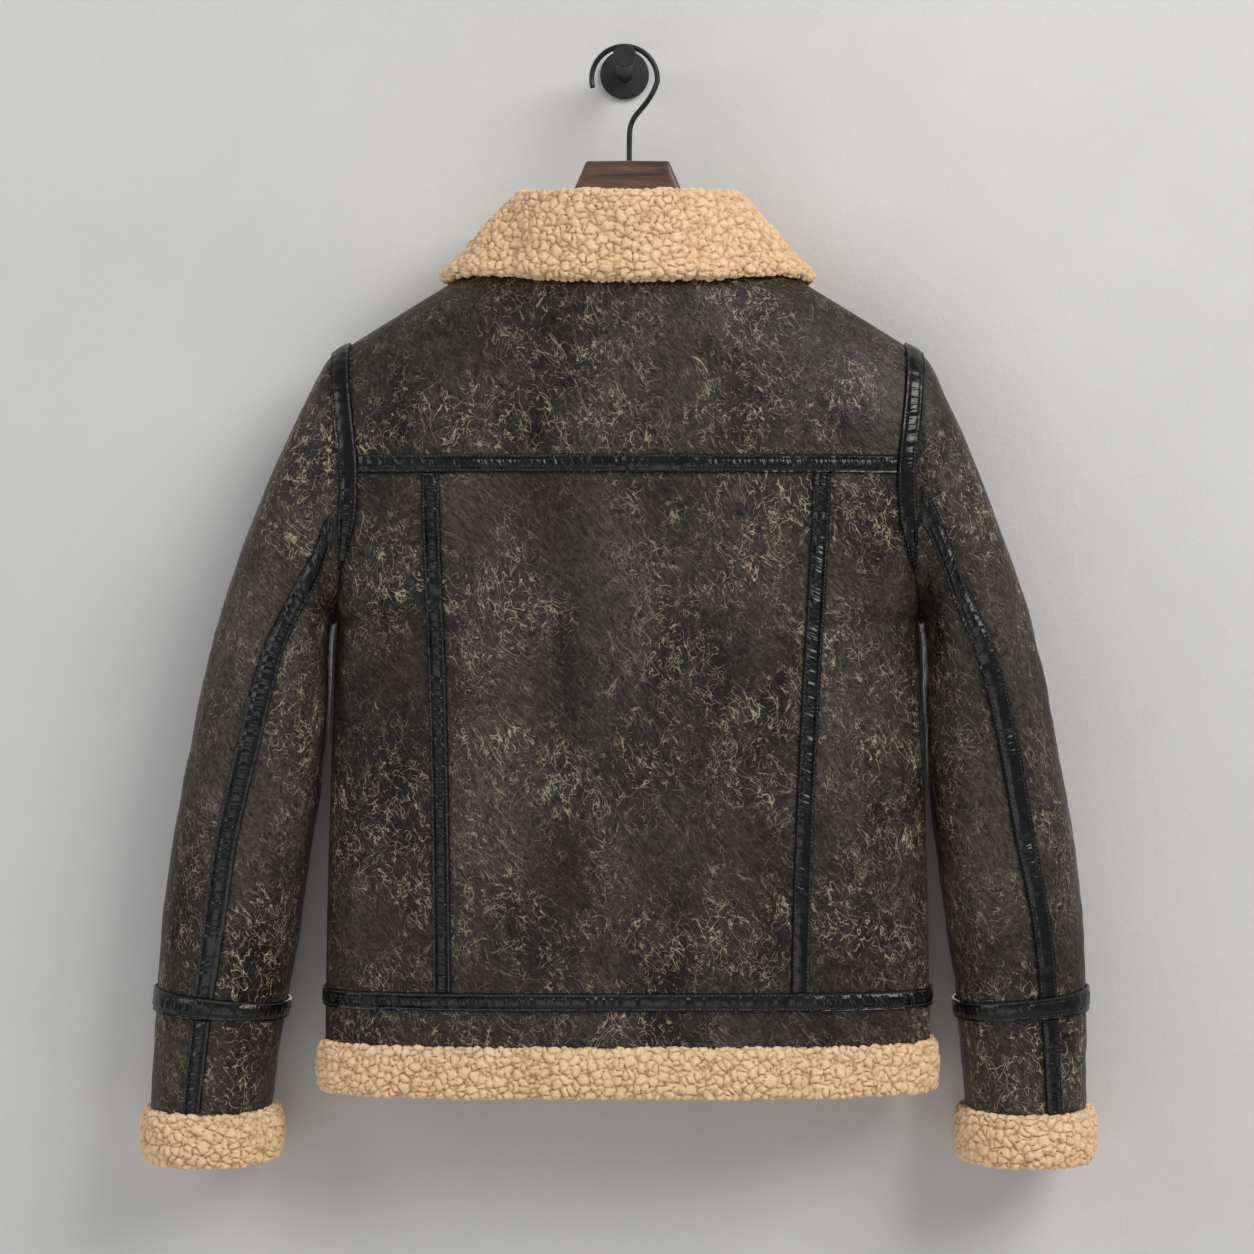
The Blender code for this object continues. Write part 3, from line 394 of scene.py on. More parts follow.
def sleeve_points(station, angle, side, inset=0.0):
    """Points of a sleeve. Angle 0 is its outer edge, a quarter turn is its back, a half turn its inside."""
    s = sleeve_table(station, side)
    across_x, across_z = s["outer_x"] - s["inner_x"], s["outer_z"] - s["inner_z"]
    length = np.hypot(across_x, across_z)
    dent = np.zeros(np.broadcast(station, angle).shape)
    for place, turn, along, around, depth in SLEEVE_FOLD_ROWS:
        wrap = np.angle(np.exp(1j * (angle - math.radians(turn))))
        dent = dent + depth * np.exp(-(((station - place) / along) ** 2) - (wrap / around) ** 2)
    dent = dent * np.clip(station - 0.6, 0, 1) * np.clip(CUFF_SEAM - 0.6 - station, 0, 1)
    reach = (length / 2 - inset - dent) * bent(np.cos(angle))
    x = (s["outer_x"] + s["inner_x"]) / 2 + reach * across_x / length
    z = (s["outer_z"] + s["inner_z"]) / 2 + reach * across_z / length
    y = s["centre_y"] - (s["half_depth"] - inset - dent) * bent(np.sin(angle))
    share = (z - UNDERARM_Z) / (SHOULDER_Z - UNDERARM_Z)
    straight = SLEEVE_ROWS[0][3] + (SLEEVE_ROWS[0][0] - SLEEVE_ROWS[0][3]) * share
    fade = np.clip(1 - station / 1.5, 0, 1) ** 2
    x = x + (body(z, "half_width") + SEAT_GAP - straight) * fade
    return np.stack([CENTRE_X + sign_of(side) * x, y, z], axis=-1)


def split_angle(station, side):
    """The angle of the sleeve's back seam at a station."""
    split = sleeve_table(station, side)["split"]
    return np.arccos(np.sign(split) * np.abs(split) ** (CREST_POWER / 2))


def fall_foot(angle, z):
    """Where the collar's fall rests, going out from the neck at an angle: just clear of the body."""
    face = "back" if math.cos(angle) >= 0 else "front"
    reach = np.linspace(0.02, 0.17, 601)
    x, y = reach * math.sin(angle), np.abs(reach * math.cos(angle))
    q = np.clip(np.abs(x) / SHOULDER_X, 0, 1)
    level = np.full(len(reach), z)
    covered = (y <= body_depth(q, level, face)) & (z <= top_z(q, face, 0.0))
    last = reach[covered].max() + (FALL_CLEAR_BACK if face == "back" else FALL_CLEAR_FRONT)
    return np.array([last * math.sin(angle), -last * math.cos(angle)])


def collar_section(angle):
    """The collar's closed section at an angle round the neck: stand, rolled top, fall, slit between."""
    degrees = abs(math.degrees(angle))
    known = column(COLLAR_COLUMNS, COLLAR_ROWS, "angle")
    roll_z = float(smooth(degrees, known, column(COLLAR_COLUMNS, COLLAR_ROWS, "roll_z")))
    fall_z = float(smooth(degrees, known, column(COLLAR_COLUMNS, COLLAR_ROWS, "fall_z")))
    back_side = math.cos(angle) >= 0
    depth = NECK_BACK_DEPTH if back_side else NECK_FRONT_DEPTH
    dip = NECK_BACK_DIP if back_side else NECK_FRONT_DIP
    foot = np.array([NECK_HALF_WIDTH * math.sin(angle), -depth * math.cos(angle)])
    foot_z = NECK_Z - dip * math.cos(angle) ** 2 + (SEAT_GAP if back_side else 2 * SEAT_GAP)
    foot_rise = FRONT_FOOT_RISE * math.sqrt(max(0.0, -math.cos(angle)))
    away = fall_foot(angle, fall_z) - foot
    reach = float(np.linalg.norm(away))
    straight = np.array([math.sin(angle), -math.cos(angle)])
    away = straight + (away / reach - straight) * min(max((reach - 0.010) / 0.014, 0.0), 1.0)
    away = away / np.linalg.norm(away)
    reach = max(reach, LEAST_REACH)
    slant = 0.60 * SHOULDER_SLOPE * FALL_THICKNESS * abs(math.sin(angle)) ** 6
    outer = reach + FALL_THICKNESS
    gap_top = roll_z - SLIT_DROP
    profile = (
        (0.0, foot_z), (0.0, (foot_z + roll_z) / 2), (0.001, roll_z - 0.006), (0.005, roll_z - 0.001),
        (0.010, roll_z), (0.0165, roll_z - 0.004),
        (ROLL_REACH + (outer - ROLL_REACH) * 0.36, roll_z - 0.004 + (fall_z - roll_z) * 0.30),
        (ROLL_REACH + (outer - ROLL_REACH) * 0.74, roll_z - 0.004 + (fall_z - roll_z) * 0.66),
        (outer + 0.0008, fall_z + 0.007 - slant * 0.8), (outer - 0.002, fall_z + 0.0008 - slant),
        (outer - 0.006, fall_z - 0.0004 - slant * 0.25), (reach + 0.001, fall_z + 0.0012),
        (SLIT_REACH + (reach - SLIT_REACH) * 0.6, gap_top + (fall_z - gap_top) * 0.34),
        (SLIT_REACH, gap_top), (STAND_THICKNESS, gap_top - 0.002), (STAND_THICKNESS, foot_z + foot_rise),
    )
    return np.array([
        (CENTRE_X + foot[0] + away[0] * r, MID_Y + foot[1] + away[1] * r, z)
        for r, z in profile
    ])


def waves(u, v, seed, length, count=9):
    """A smooth uneven field from -1 to 1: a sum of cosines in seeded directions, length apart on average."""
    draw = np.random.default_rng(seed)
    total = np.zeros(np.broadcast(u, v).shape)
    for turn, phase, stretch in zip(draw.uniform(0, math.pi, count), draw.uniform(0, 6.28, count),
                                    draw.uniform(0.6, 1.6, count)):
        step = 2 * math.pi / (length * stretch)
        total = total + np.cos(step * (u * math.cos(turn) + v * math.sin(turn)) + phase)
    return total / math.sqrt(count)


def relief(u, v, seed):
    """The small unevenness of worn leather over fleece: broad waves and shorter ones."""
    size = bpy.context.scene.jacket.leather_relief
    return size * (0.65 * waves(u, v, seed, 0.075) + 0.35 * waves(u, v, seed + 1, 0.028))


def worn_body(q, z, face, inset=0.0):
    """The body's wall with its small unevenness, which dies out at the armholes and side seams."""
    points = body_points(q, z, face, inset)
    calm = np.clip((1 - np.abs(q)) * 12, 0, 1) * np.clip((top_z(np.abs(q), face, 0) - z) * 60, 0, 1)
    seed = 11 if face == "back" else 17
    points[..., 1] += sign_of(face) * calm * relief(points[..., 0], points[..., 2], seed)
    return points


def worn_sleeve(station, angle, side, inset=0.0):
    """A sleeve's wall with its small unevenness, which dies out at the armhole."""
    calm = np.clip(station - 0.4, 0, 1)
    plain = sleeve_points(station, angle, side, 0.0)
    bump = calm * relief(plain[..., 2], angle * 0.053, 23 if side == "left" else 29)
    return sleeve_points(station, angle, side, inset - bump)


def outward(grid, closed=False):
    """Unit directions square to a grid of points: the cross product of its two slopes."""
    along = np.gradient(grid, axis=0)
    across = np.roll(grid, -1, axis=1) - np.roll(grid, 1, axis=1) if closed else np.gradient(grid, axis=1)
    square = np.cross(along, across)
    return square / np.maximum(np.linalg.norm(square, axis=2, keepdims=True), 1e-12)


def facing(grid, out, centre):
    """Turns the directions round if on the whole they point at the centre."""
    return out if np.sum((grid - centre) * out) > 0 else -out


def quads_of(rows, columns, wrap=False, start=0):
    """Corner numbers of a grid's squares, row by row."""
    row, place = np.meshgrid(np.arange(rows - 1), np.arange(columns if wrap else columns - 1), indexing="ij")
    beside = (place + 1) % columns
    corners = (row * columns + place, row * columns + beside,
               (row + 1) * columns + beside, (row + 1) * columns + place)
    return start + np.stack(corners, axis=-1).reshape(-1, 4)


def volume_sign(points, faces):
    """Over 0 if the faces look outwards: the sum of the solids between each face and the middle."""
    volume = 0.0
    for group in faces:
        for k in range(2, group.shape[1]):
            a, b, c = (points[group[:, corner]] for corner in (0, k - 1, k))
            volume += np.sum(a * np.cross(b, c))
    return volume


def new_piece(name, points, faces, material, values=None):
    """A finished mesh from points and groups of like faces, turned outwards, with named point values."""
    points = np.asarray(points, dtype=np.float64).reshape(-1, 3)
    if volume_sign(points - points.mean(axis=0), faces) < 0:
        faces = [group[:, ::-1] for group in faces]
    sizes = np.concatenate([np.full(len(group), group.shape[1]) for group in faces])
    corners = np.concatenate([group.ravel() for group in faces])
    mesh = bpy.data.meshes.new(name)
    mesh.vertices.add(len(points))
    mesh.vertices.foreach_set("co", points.astype(np.float32).ravel())
    mesh.loops.add(len(corners))
    mesh.loops.foreach_set("vertex_index", corners.astype(np.int32))
    mesh.polygons.add(len(sizes))
    mesh.polygons.foreach_set("loop_start", (np.cumsum(sizes) - sizes).astype(np.int32))
    for label, numbers in (values or {}).items():
        layer = mesh.attributes.new(label, "FLOAT", "POINT")
        layer.data.foreach_set("value", np.asarray(numbers, dtype=np.float32).ravel())
    mesh.update(calc_edges=True)
    mesh.validate()
    mesh.shade_smooth()
    mesh.set_sharp_from_angle(angle=SHARP_EDGE)
    mesh.materials.append(material)
    piece = bpy.data.objects.new(name, mesh)
    bpy.context.scene.collection.objects.link(piece)
    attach(piece, BODY)
    return piece


def wall_piece(name, outer, inner, material, wrap=False, values=None):
    """A wall between two grids: both grids, and rims round their edges. A wrapped one has no side rims."""
    rows, columns = outer.shape[:2]
    layer = rows * columns
    front = quads_of(rows, columns, wrap)
    groups = [front, front[:, ::-1] + layer]
    first = np.arange(columns) if wrap else np.arange(columns - 1)
    beside = (first + 1) % columns
    last = (rows - 1) * columns
    groups.append(np.stack([beside, first, first + layer, beside + layer], axis=1))
    groups.append(np.stack([first, beside, beside + layer, first + layer], axis=1) + last)
    if not wrap:
        low = np.arange(rows - 1) * columns
        high = low + columns
        groups.append(np.stack([low, high, high + layer, low + layer], axis=1))
        groups.append(np.stack([high, low, low + layer, high + layer], axis=1) + columns - 1)
    points = np.concatenate([outer.reshape(-1, 3), inner.reshape(-1, 3)])
    return new_piece(name, points, [np.concatenate(groups)], material, values)


def loft_piece(name, loops, material, closed=False, values=None):
    """A solid through closed loops, one behind the other. Open ends are closed by fans."""
    count, around = loops.shape[:2]
    points = loops.reshape(-1, 3)
    if closed:
        quads = quads_of(count + 1, around, True) % (count * around)
        return new_piece(name, points, [quads], material, values)
    quads = quads_of(count, around, True)
    ends = np.stack([loops[0].mean(axis=0), loops[-1].mean(axis=0)])
    ring = np.arange(around)
    beside = (ring + 1) % around
    base = (count - 1) * around
    centre = np.full(around, count * around)
    fans = np.concatenate([np.stack([beside, ring, centre], axis=1),
                           np.stack([ring + base, beside + base, centre + 1], axis=1)])
    if values:
        values = {label: np.append(numbers.ravel(), [0.3, 0.3]) for label, numbers in values.items()}
    return new_piece(name, np.concatenate([points, ends]), [quads, fans], material, values)


def round_loops(loops, count, fine):
    """Closed loops drawn smoothly through their points by a Catmull-Rom curve.

    The new points lie at even mean distances, and three times as close between the two fine points."""
    around = loops.shape[1]
    steps = np.linalg.norm(np.roll(loops, -1, axis=1) - loops, axis=2).mean(axis=0)
    place = np.arange(around)
    steps = steps * np.where((place >= fine[0]) & (place < fine[1]), 1.0, 0.33)
    ends = np.concatenate([[0], np.cumsum(steps)])
    at = np.linspace(0, ends[-1], count, endpoint=False)
    cell = np.clip(np.searchsorted(ends, at, side="right") - 1, 0, around - 1)
    t = ((at - ends[cell]) / steps[cell])[None, :, None]
    before, start, end, after = (loops[:, (cell + k) % around] for k in (-1, 0, 1, 2))
    return 0.5 * (
        2 * start + (end - before) * t + (2 * before - 5 * start + 4 * end - after) * t**2
        + (3 * start - before - 3 * end + after) * t**3
    )


def cells(points, size, seed):
    """Distances to the nearest and the second nearest of scattered seeds, one in each cube of a lattice."""
    scaled = points / size
    home = np.floor(scaled)
    nearest = np.full(len(points), 9.0)
    second = np.full(len(points), 9.0)
    mix = np.array([[127.1, 311.7, 74.7], [269.5, 183.3, 246.1], [113.5, 271.9, 124.6]])
    for dx in (-1, 0, 1):
        for dy in (-1, 0, 1):
            for dz in (-1, 0, 1):
                cube = home + (dx, dy, dz)
                jitter = np.abs(np.sin(cube @ mix.T + seed) * 43758.5453) % 1.0
                away = np.linalg.norm(scaled - cube - jitter, axis=1)
                second = np.minimum(second, np.maximum(away, nearest))
                nearest = np.minimum(nearest, away)
    return nearest, second


def lumps(points, size, seed, fall, sharpness):
    """Round lumps: a dome over each cell, which falls off from its middle and steeply at its border."""
    near, next_near = cells(points, size, seed)
    border = np.clip((next_near - near) * sharpness, 0, 1)
    return np.clip(1 - fall * near**2, 0, 1) * np.sqrt(border * (2 - border))


def curls(points, seed):
    """The height of the fleece's curls, from 0 to 1: uneven lumps in bent cells, with finer ones on top."""
    flat = points.reshape(-1, 3)
    x, level = flat[:, 0], flat[:, 1] + flat[:, 2]
    bend = np.stack([waves(level, x, seed + k, 0.012, 6) for k in range(3)], axis=1)
    uneven = np.clip(1 + 0.10 * waves(x, level, seed + 9, 0.05, 5), 0.7, 1.3)
    broad = lumps(flat + 0.0009 * bend, CURL_SIZE, seed, 0.62, 3.3) * uneven
    fine = lumps(flat + 0.0005 * bend, FINE_CURL_SIZE, seed + 5, 0.8, 2.8)
    return np.clip(0.82 * broad + 0.18 * fine, 0, 1).reshape(points.shape[:2])


def fleece_piece(name, node, loops, seed, material, closed=False):
    """Fleece over closed loops: each point stands out along the surface's own direction by its curl."""
    centre = loops.mean(axis=1, keepdims=True)
    stretched = np.concatenate([loops[-1:], loops, loops[:1]]) if closed else loops
    out = outward(stretched, True)
    out = out[1:-1] if closed else out
    out = facing(loops, out, centre)
    height = curls(loops, seed)
    size = bpy.context.scene.jacket.curl_height
    finished = loops + out * ((height - CURL_SINK) * size)[..., None]
    piece = loft_piece(name, finished, material, closed, {"curl": height})
    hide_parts(node)


def body_cloth(node, face, q, z, material):
    """A finished leather panel of the body on a grid of q values and heights."""
    q, z = np.broadcast_arrays(q, z)
    outer = worn_body(q, z, face)
    piece = wall_piece("fine_" + node, outer, body_points(q, z, face, WALL), material)
    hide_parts(node)
    return piece


def steps_over(length):
    """How many points a run of cloth gets."""
    return max(4, int(round(length / CLOTH_STEP)) + 1)


def level_rows(low, high):
    """Even heights from low to high."""
    return np.linspace(low, high, steps_over(high - low))


def rising_rows(q, face, low, inset):
    """Rows from a level line up to the neck edge and shoulder line, closer together near the top."""
    top = top_z(np.abs(q), face, inset)
    steps = 1 - (1 - np.linspace(0, 1, steps_over(SHOULDER_Z - low) + 14)) ** 1.9
    return low + (top - low) * steps[:, None]


def crested_cloth(node, face, q, rows_below, low, material):
    """A finished panel that reaches the neck and the shoulder line; its inside has its own heights."""
    grids = []
    for inset in (0.0, WALL):
        z = rising_rows(q, face, low, inset)
        if len(rows_below):
            z = np.concatenate([np.repeat(rows_below[:, None], len(q), axis=1), z])
        grid_q = np.broadcast_to(q, z.shape)
        grids.append(worn_body(grid_q, z, face) if inset == 0.0 else body_points(grid_q, z, face, inset))
    piece = wall_piece("fine_" + node, grids[0], grids[1], material)
    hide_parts(node)


def whole_columns():
    """Fine q values across the whole back, with the neck's corners among them."""
    side = q_spread(NECK_Q, 1.0, 40)
    return np.concatenate([-side[:0:-1], np.linspace(-NECK_Q, NECK_Q, 35), side[1:]])


def half_columns(side):
    """Fine q values across one front, from the centre slit to the side seam."""
    slit = FRONT_SLIT / 2 / SHOULDER_X
    q = np.concatenate([np.linspace(slit, NECK_Q, 18), q_spread(NECK_Q, 1.0, 40)[1:]])
    return -q[::-1] if side == "left" else q


def back_cloth(material):
    """The back's yoke, three long panels and waistband."""
    q = whole_columns()
    crested_cloth("back_yoke", "back", q, np.array([]), YOKE_Z, material)
    rows = level_rows(HEM_SEAM_Z + GAP, YOKE_Z - GAP)
    left, centre, right = [], [], []
    for z in rows:
        half = float(body(z, "half_width"))
        seam_left, seam_right = -float(seam_x(z, "left")) / half, float(seam_x(z, "right")) / half
        slit = GAP / 2 / half
        left.append(q_spread(-1.0, seam_left - slit, 34))
        centre.append(np.linspace(seam_left + slit, seam_right - slit, 64))
        right.append(q_spread(seam_right + slit, 1.0, 34))
    for node, grid in (("back_side_left", left), ("back_centre", centre), ("back_side_right", right)):
        body_cloth(node, "back", np.array(grid), rows[:, None], material)
    body_cloth("waistband_back", "back", q, level_rows(FUR_TOP_Z + GAP, HEM_SEAM_Z)[:, None], material)


def front_cloth(material):
    """The two plain fronts and their waistbands."""
    band = level_rows(FUR_TOP_Z + GAP, HEM_SEAM_Z)[:, None]
    for side in ("left", "right"):
        q = half_columns(side)
        crested_cloth("front_" + side, "front", q, level_rows(HEM_SEAM_Z + GAP, ARM_Z)[:-1], ARM_Z, material)
        body_cloth("waistband_front_" + side, "front", q, band, material)


def sleeve_cloth(node, side, start, end, stations, count, material, wrap=False):
    """A finished leather piece of a sleeve between two seam angles."""
    share = np.linspace(0, 1, count, endpoint=not wrap)
    angle = start[:, None] + (end - start)[:, None] * share
    station = np.broadcast_to(stations[:, None], angle.shape)
    outer = worn_sleeve(station, angle, side)
    piece = wall_piece("fine_" + node, outer, sleeve_points(station, angle, side, WALL), material, wrap)
    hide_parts(node)


def sleeves_cloth(material):
    """Top sleeve, under sleeve and cuff panel of both sleeves."""
    stations = np.concatenate([np.linspace(0, 2, 24)[:-1], np.linspace(2, CUFF_SEAM, 108)])
    slit = GAP / 2 / 0.050
    for side in ("left", "right"):
        seam = split_angle(stations, side)
        front = np.full(len(stations), FRONT_SEAM_ANGLE)
        sleeve_cloth("top_sleeve_" + side, side, front + slit, seam - slit, stations, 46, material)
        round_front = front + 2 * math.pi
        sleeve_cloth("under_sleeve_" + side, side, seam + slit, round_front - slit, stations, 34, material)
        cuff = np.linspace(CUFF_SEAM + 0.004, CUFF_END, 22)
        around = np.zeros(len(cuff))
        sleeve_cloth("cuff_panel_" + side, side, around, around + 2 * math.pi, cuff, 72, material, wrap=True)


def strip_piece(node, base, out, lift, trim, wrap=False, seed=1):
    """A bound strip from its base points: raised, sewn down along both edges and puckered between them.

    base and out are grids of the strip's nine lines along its length. Returns the two stitch lines."""
    jacket = bpy.context.scene.jacket
    run = distances(base[STRIP_MIDDLE])
    across = STRIP_SHARES[:, None] * STRIP_WIDTH
    pucker = waves(run[None, :] + across * 0.5, across, seed, 0.0085, 7)
    pucker = pucker * (1 - (2 * np.abs(STRIP_SHARES)) ** 6)[:, None]
    if wrap:
        ease = np.clip(np.minimum(run, run[-1] - run) / 0.02, 0, 1)
        pucker = pucker * ease
    crown = STRIP_THICKNESS * STRIP_CROWN[:, None] + jacket.pucker_depth * pucker
    crown = np.clip(crown, LEAST_CROWN, None)
    low = base + out * lift
    top = base + out * (lift + crown)[..., None]
    grids = [np.broadcast_to(run, crown.shape), np.broadcast_to(across, crown.shape)]
    if wrap:
        top_side, low_side, grids = top[:, :-1], low[:, :-1], [grid[:, :-1] for grid in grids]
    else:
        top_side, low_side = top, low
    values = {name: np.tile(grid.ravel(), 2) for name, grid in zip(("run", "across"), grids)}
    piece = wall_piece("fine_" + node, top_side, low_side, trim, wrap, values)
    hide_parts(node)
    return [(top[k], out[k]) for k in STITCHED_LINES]


def resample(line, out, step):
    """Places at even distances along a line of points, with its directions."""
    run = distances(line)
    at = np.arange(step, run[-1] - step / 2, step)
    spots = np.stack([np.interp(at, run, line[:, k]) for k in range(3)], axis=1)
    ups = np.stack([np.interp(at, run, out[:, k]) for k in range(3)], axis=1)
    ways = np.stack([np.interp(at, run, np.gradient(line[:, k], run)) for k in range(3)], axis=1)
    return spots, ups, unit(ways)


def level_base(face, q, z_seam):
    """A level strip's base grid on the panels, with its outward directions."""
    z = np.repeat(z_seam + STRIP_SHARES[:, None] * STRIP_WIDTH, len(q), axis=1)
    base = worn_body(np.broadcast_to(q, z.shape), z, face)
    out = facing(base, outward(base), BODY_MIDDLE)
    for end in (0, -1):
        out[:, end, 1 if abs(q[end]) > 0.99 else 0] = 0
    return base, unit(out)


def even_columns(start, end, z, face, step=STRIP_STEP):
    """q values at even distances across the body at a height."""
    q = np.linspace(start, end, 2400)
    q = np.sign(q) * (1 - (1 - np.abs(q)) ** 1.6)
    q = q[(q >= start) & (q <= end)]
    q = np.concatenate([[start], q, [end]])
    line = body_points(q, np.full(len(q), z), face)
    run = distances(line)
    return np.interp(np.linspace(0, run[-1], int(run[-1] / step)), run, q)


def body_strips(trim):
    """The strips of the yoke, the hems and the two long back seams. Returns their stitch lines."""
    lines = []
    yoke_end = 1 - (STRIP_WIDTH / 2 + 3 * GAP) / float(body(YOKE_Z, "half_width"))
    slit = FRONT_SLIT / 2 / SHOULDER_X
    runs = (
        ("strip_yoke", "back", -yoke_end, yoke_end, YOKE_Z),
        ("strip_hem_back", "back", -1.0, 1.0, HEM_SEAM_Z),
        ("strip_hem_front_left", "front", -1.0, -slit, HEM_SEAM_Z),
        ("strip_hem_front_right", "front", slit, 1.0, HEM_SEAM_Z),
    )
    for seed, (node, face, start, end, z) in enumerate(runs):
        base, out = level_base(face, even_columns(start, end, z, face), z)
        lines += strip_piece(node, base, out, STRIP_LIFT, trim, seed=40 + seed)
    inside = STRIP_WIDTH / 2 + 2 * GAP
    z = np.arange(HEM_SEAM_Z + inside, YOKE_Z - inside, STRIP_STEP)
    z = np.append(z, YOKE_Z - inside)
    for seed, side in enumerate(("left", "right")):
        q = (sign_of(side) * seam_x(z, side) + STRIP_SHARES[:, None] * STRIP_WIDTH) / body(z, "half_width")
        base = worn_body(q, np.broadcast_to(z, q.shape), "back")
        out = facing(base, outward(base), BODY_MIDDLE)
        lines += strip_piece("strip_back_" + side, base, out, STRIP_LIFT, trim, seed=50 + seed)
    return lines


def sleeve_strips(trim):
    """The strips of the sleeves' seams, cuffs and armholes. Returns their stitch lines."""
    lines = []
    for seed, side in enumerate(("left", "right")):
        for kind, start, end, count in (("sleeve", 0.62, CUFF_SEAM - CUFF_STRIP_UP - 0.01, 390),
                                        ("wrist", CUFF_SEAM + CUFF_STRIP_DOWN + 0.01, CUFF_END - 0.012, 60)):
            stations = np.linspace(start, end, count)
            angle = split_angle(stations, side) + STRIP_SHARES[:, None] * STRIP_WIDTH / 0.053
            station = np.broadcast_to(stations, angle.shape)
            base = worn_sleeve(station, angle, side)
            middle = (sleeve_points(stations, np.zeros(count), side)
                      + sleeve_points(stations, np.full(count, math.pi), side)) / 2
            out = facing(base, outward(base), middle)
            lines += strip_piece(f"strip_{kind}_{side}", base, out, STRIP_LIFT, trim, seed=60 + seed)
        turn = np.linspace(0, 2 * math.pi, 221)
        station = CUFF_SEAM + np.interp(STRIP_SHARES, (-0.5, 0.5), (-CUFF_STRIP_UP, CUFF_STRIP_DOWN))[:, None]
        station, angle = np.broadcast_arrays(station, turn[None, :])
        base = worn_sleeve(station, angle, side)
        base[:, -1] = base[:, 0]
        out = outward(np.concatenate([base[:, -2:-1], base, base[:, 1:2]], axis=1))[:, 1:-1]
        out = facing(base, out, base.reshape(-1, 3).mean(axis=0))
        lines += strip_piece(
            "strip_cuff_" + side, base, out, CUFF_STRIP_LIFT, trim, wrap=True, seed=70 + seed)
        base, out = armhole_base(side)
        lines += strip_piece("strip_armhole_" + side, base, out, ARMHOLE_STRIP_LIFT, trim, seed=80 + seed)
    return lines


def armhole_base(side):
    """The armhole strip's nine lines: four on the body, one on the seam, four on the sleeve."""
    sign = sign_of(side)
    degrees = np.linspace(-127, 127, 341)
    angle = np.radians(degrees)
    width = STRIP_WIDTH * np.clip((129 - np.abs(degrees)) / 24, 0.15, 1)
    station, turn = np.broadcast_arrays(np.linspace(0, 4, 401)[:, None], angle[None, :])
    field = sleeve_points(station, turn, side)
    run = np.linalg.norm(np.diff(field, axis=0), axis=2).cumsum(axis=0)
    on_seam = field[0]
    z = on_seam[:, 2]
    share_down = np.clip((SHOULDER_Z - z) / (SHOULDER_Z - ARM_Z), 0, 1)
    lines = []
    for share in STRIP_SHARES:
        if share > 0.0:
            reached = np.argmax(run > share * width, axis=0)
            lines.append(field[reached + 1, np.arange(len(angle))])
            continue
        if share == 0.0:
            lines.append(on_seam)
            continue
        q = 1 + share * width / body(z, "half_width")
        top = top_z(q, "back", 0.0)
        height = np.where(z > ARM_Z, top - share_down * (top - ARM_Z), z)
        behind = body_points(sign * q, height, "back")
        before = body_points(sign * q, height, "front")
        lines.append(np.where(angle[:, None] >= 0, behind, before))
    base = np.stack(lines)
    out = facing(base, outward(base), np.array([on_seam[:, 0].mean(), MID_Y, ARM_Z]))
    middle_out = out[4][None, :, :]
    out = out * 0.35 + middle_out * 0.65
    return base, unit(out)


def thread_piece(lines, material):
    """Every stitch of the strips as one piece: short rods of six sides that dip at both ends."""
    turn = np.linspace(0, 2 * math.pi, STITCH_SIDES, endpoint=False)
    rings = []
    for line, out in lines:
        spots, ups, ways = resample(line, out, STITCH_PITCH)
        sides = np.cross(ways, ups)
        for along, size, rise in STITCH_ROWS:
            middle = spots + ways * along * STITCH_LENGTH + ups * rise * STITCH_RADIUS
            ring = middle[:, None] + STITCH_RADIUS * size * (
                np.cos(turn)[None, :, None] * sides[:, None] + np.sin(turn)[None, :, None] * ups[:, None])
            rings.append(ring)
    per_stitch = len(STITCH_ROWS)
    groups = [np.stack(rings[k:k + per_stitch], axis=1) for k in range(0, len(rings), per_stitch)]
    solid = np.concatenate(groups)
    one = quads_of(per_stitch, STITCH_SIDES, True)
    starts = (np.arange(len(solid)) * per_stitch * STITCH_SIDES)[:, None, None]
    quads = (one[None] + starts).reshape(-1, 4)
    end = np.arange(STITCH_SIDES)
    first = end[::-1][None, :] + starts[:, :, 0]
    last = (end + (per_stitch - 1) * STITCH_SIDES)[None, :] + starts[:, :, 0]
    new_piece("strip_stitching", solid.reshape(-1, 3), [quads, np.concatenate([first, last])], material)


def rounded_band(top, bottom, outside, inside, round_out):
    """A closed profile of a fleece edge: offsets from the panel above, and heights. It bulges outside."""
    middle = (top + bottom) / 2
    return np.array([
        (-inside, top - 0.003), (-inside + 0.003, top), (0.0, top),
        (outside * 0.62, top - round_out * 0.12), (outside, top - round_out), (outside * 1.06, middle),
        (outside, bottom + round_out), (outside * 0.55, bottom), (-inside + 0.003, bottom),
        (-inside, bottom + 0.003),
    ])


def hem_fleece(node, face, start, end, seed, material):
    """One part of the fleece hem."""
    band = rounded_band(FUR_TOP_Z - 0.0008, FUR_BOTTOM_Z + 0.0012, HEM_FUR_OUT, HEM_FUR_IN, 0.009)
    q = even_columns(start, end, FUR_TOP_Z, face, HEM_FLEECE_STEP)
    loops = np.stack([body_points(q, np.full(len(q), z), face, -offset) for offset, z in band], axis=1)
    fleece_piece("fine_" + node, node, round_loops(loops, 76, (2, 8)), seed, material)


def cuff_fleece(side, seed, material):
    """The fleece cuff of one sleeve."""
    band = rounded_band(-0.0008, -CUFF_FUR_HEIGHT + 0.0012, CUFF_FUR_OUT, CUFF_FUR_IN, 0.010)
    angle = np.linspace(0, 2 * math.pi, 300, endpoint=False)
    rings = []
    for offset, z in band:
        ring = sleeve_points(np.full(len(angle), CUFF_END), angle, side, -offset)
        ring[:, 2] += z - GAP
        rings.append(ring)
    loops = round_loops(np.stack(rings, axis=1), 92, (2, 8))
    fleece_piece("fine_cuff_fur_" + side, "cuff_fur_" + side, loops, seed, material, closed=True)


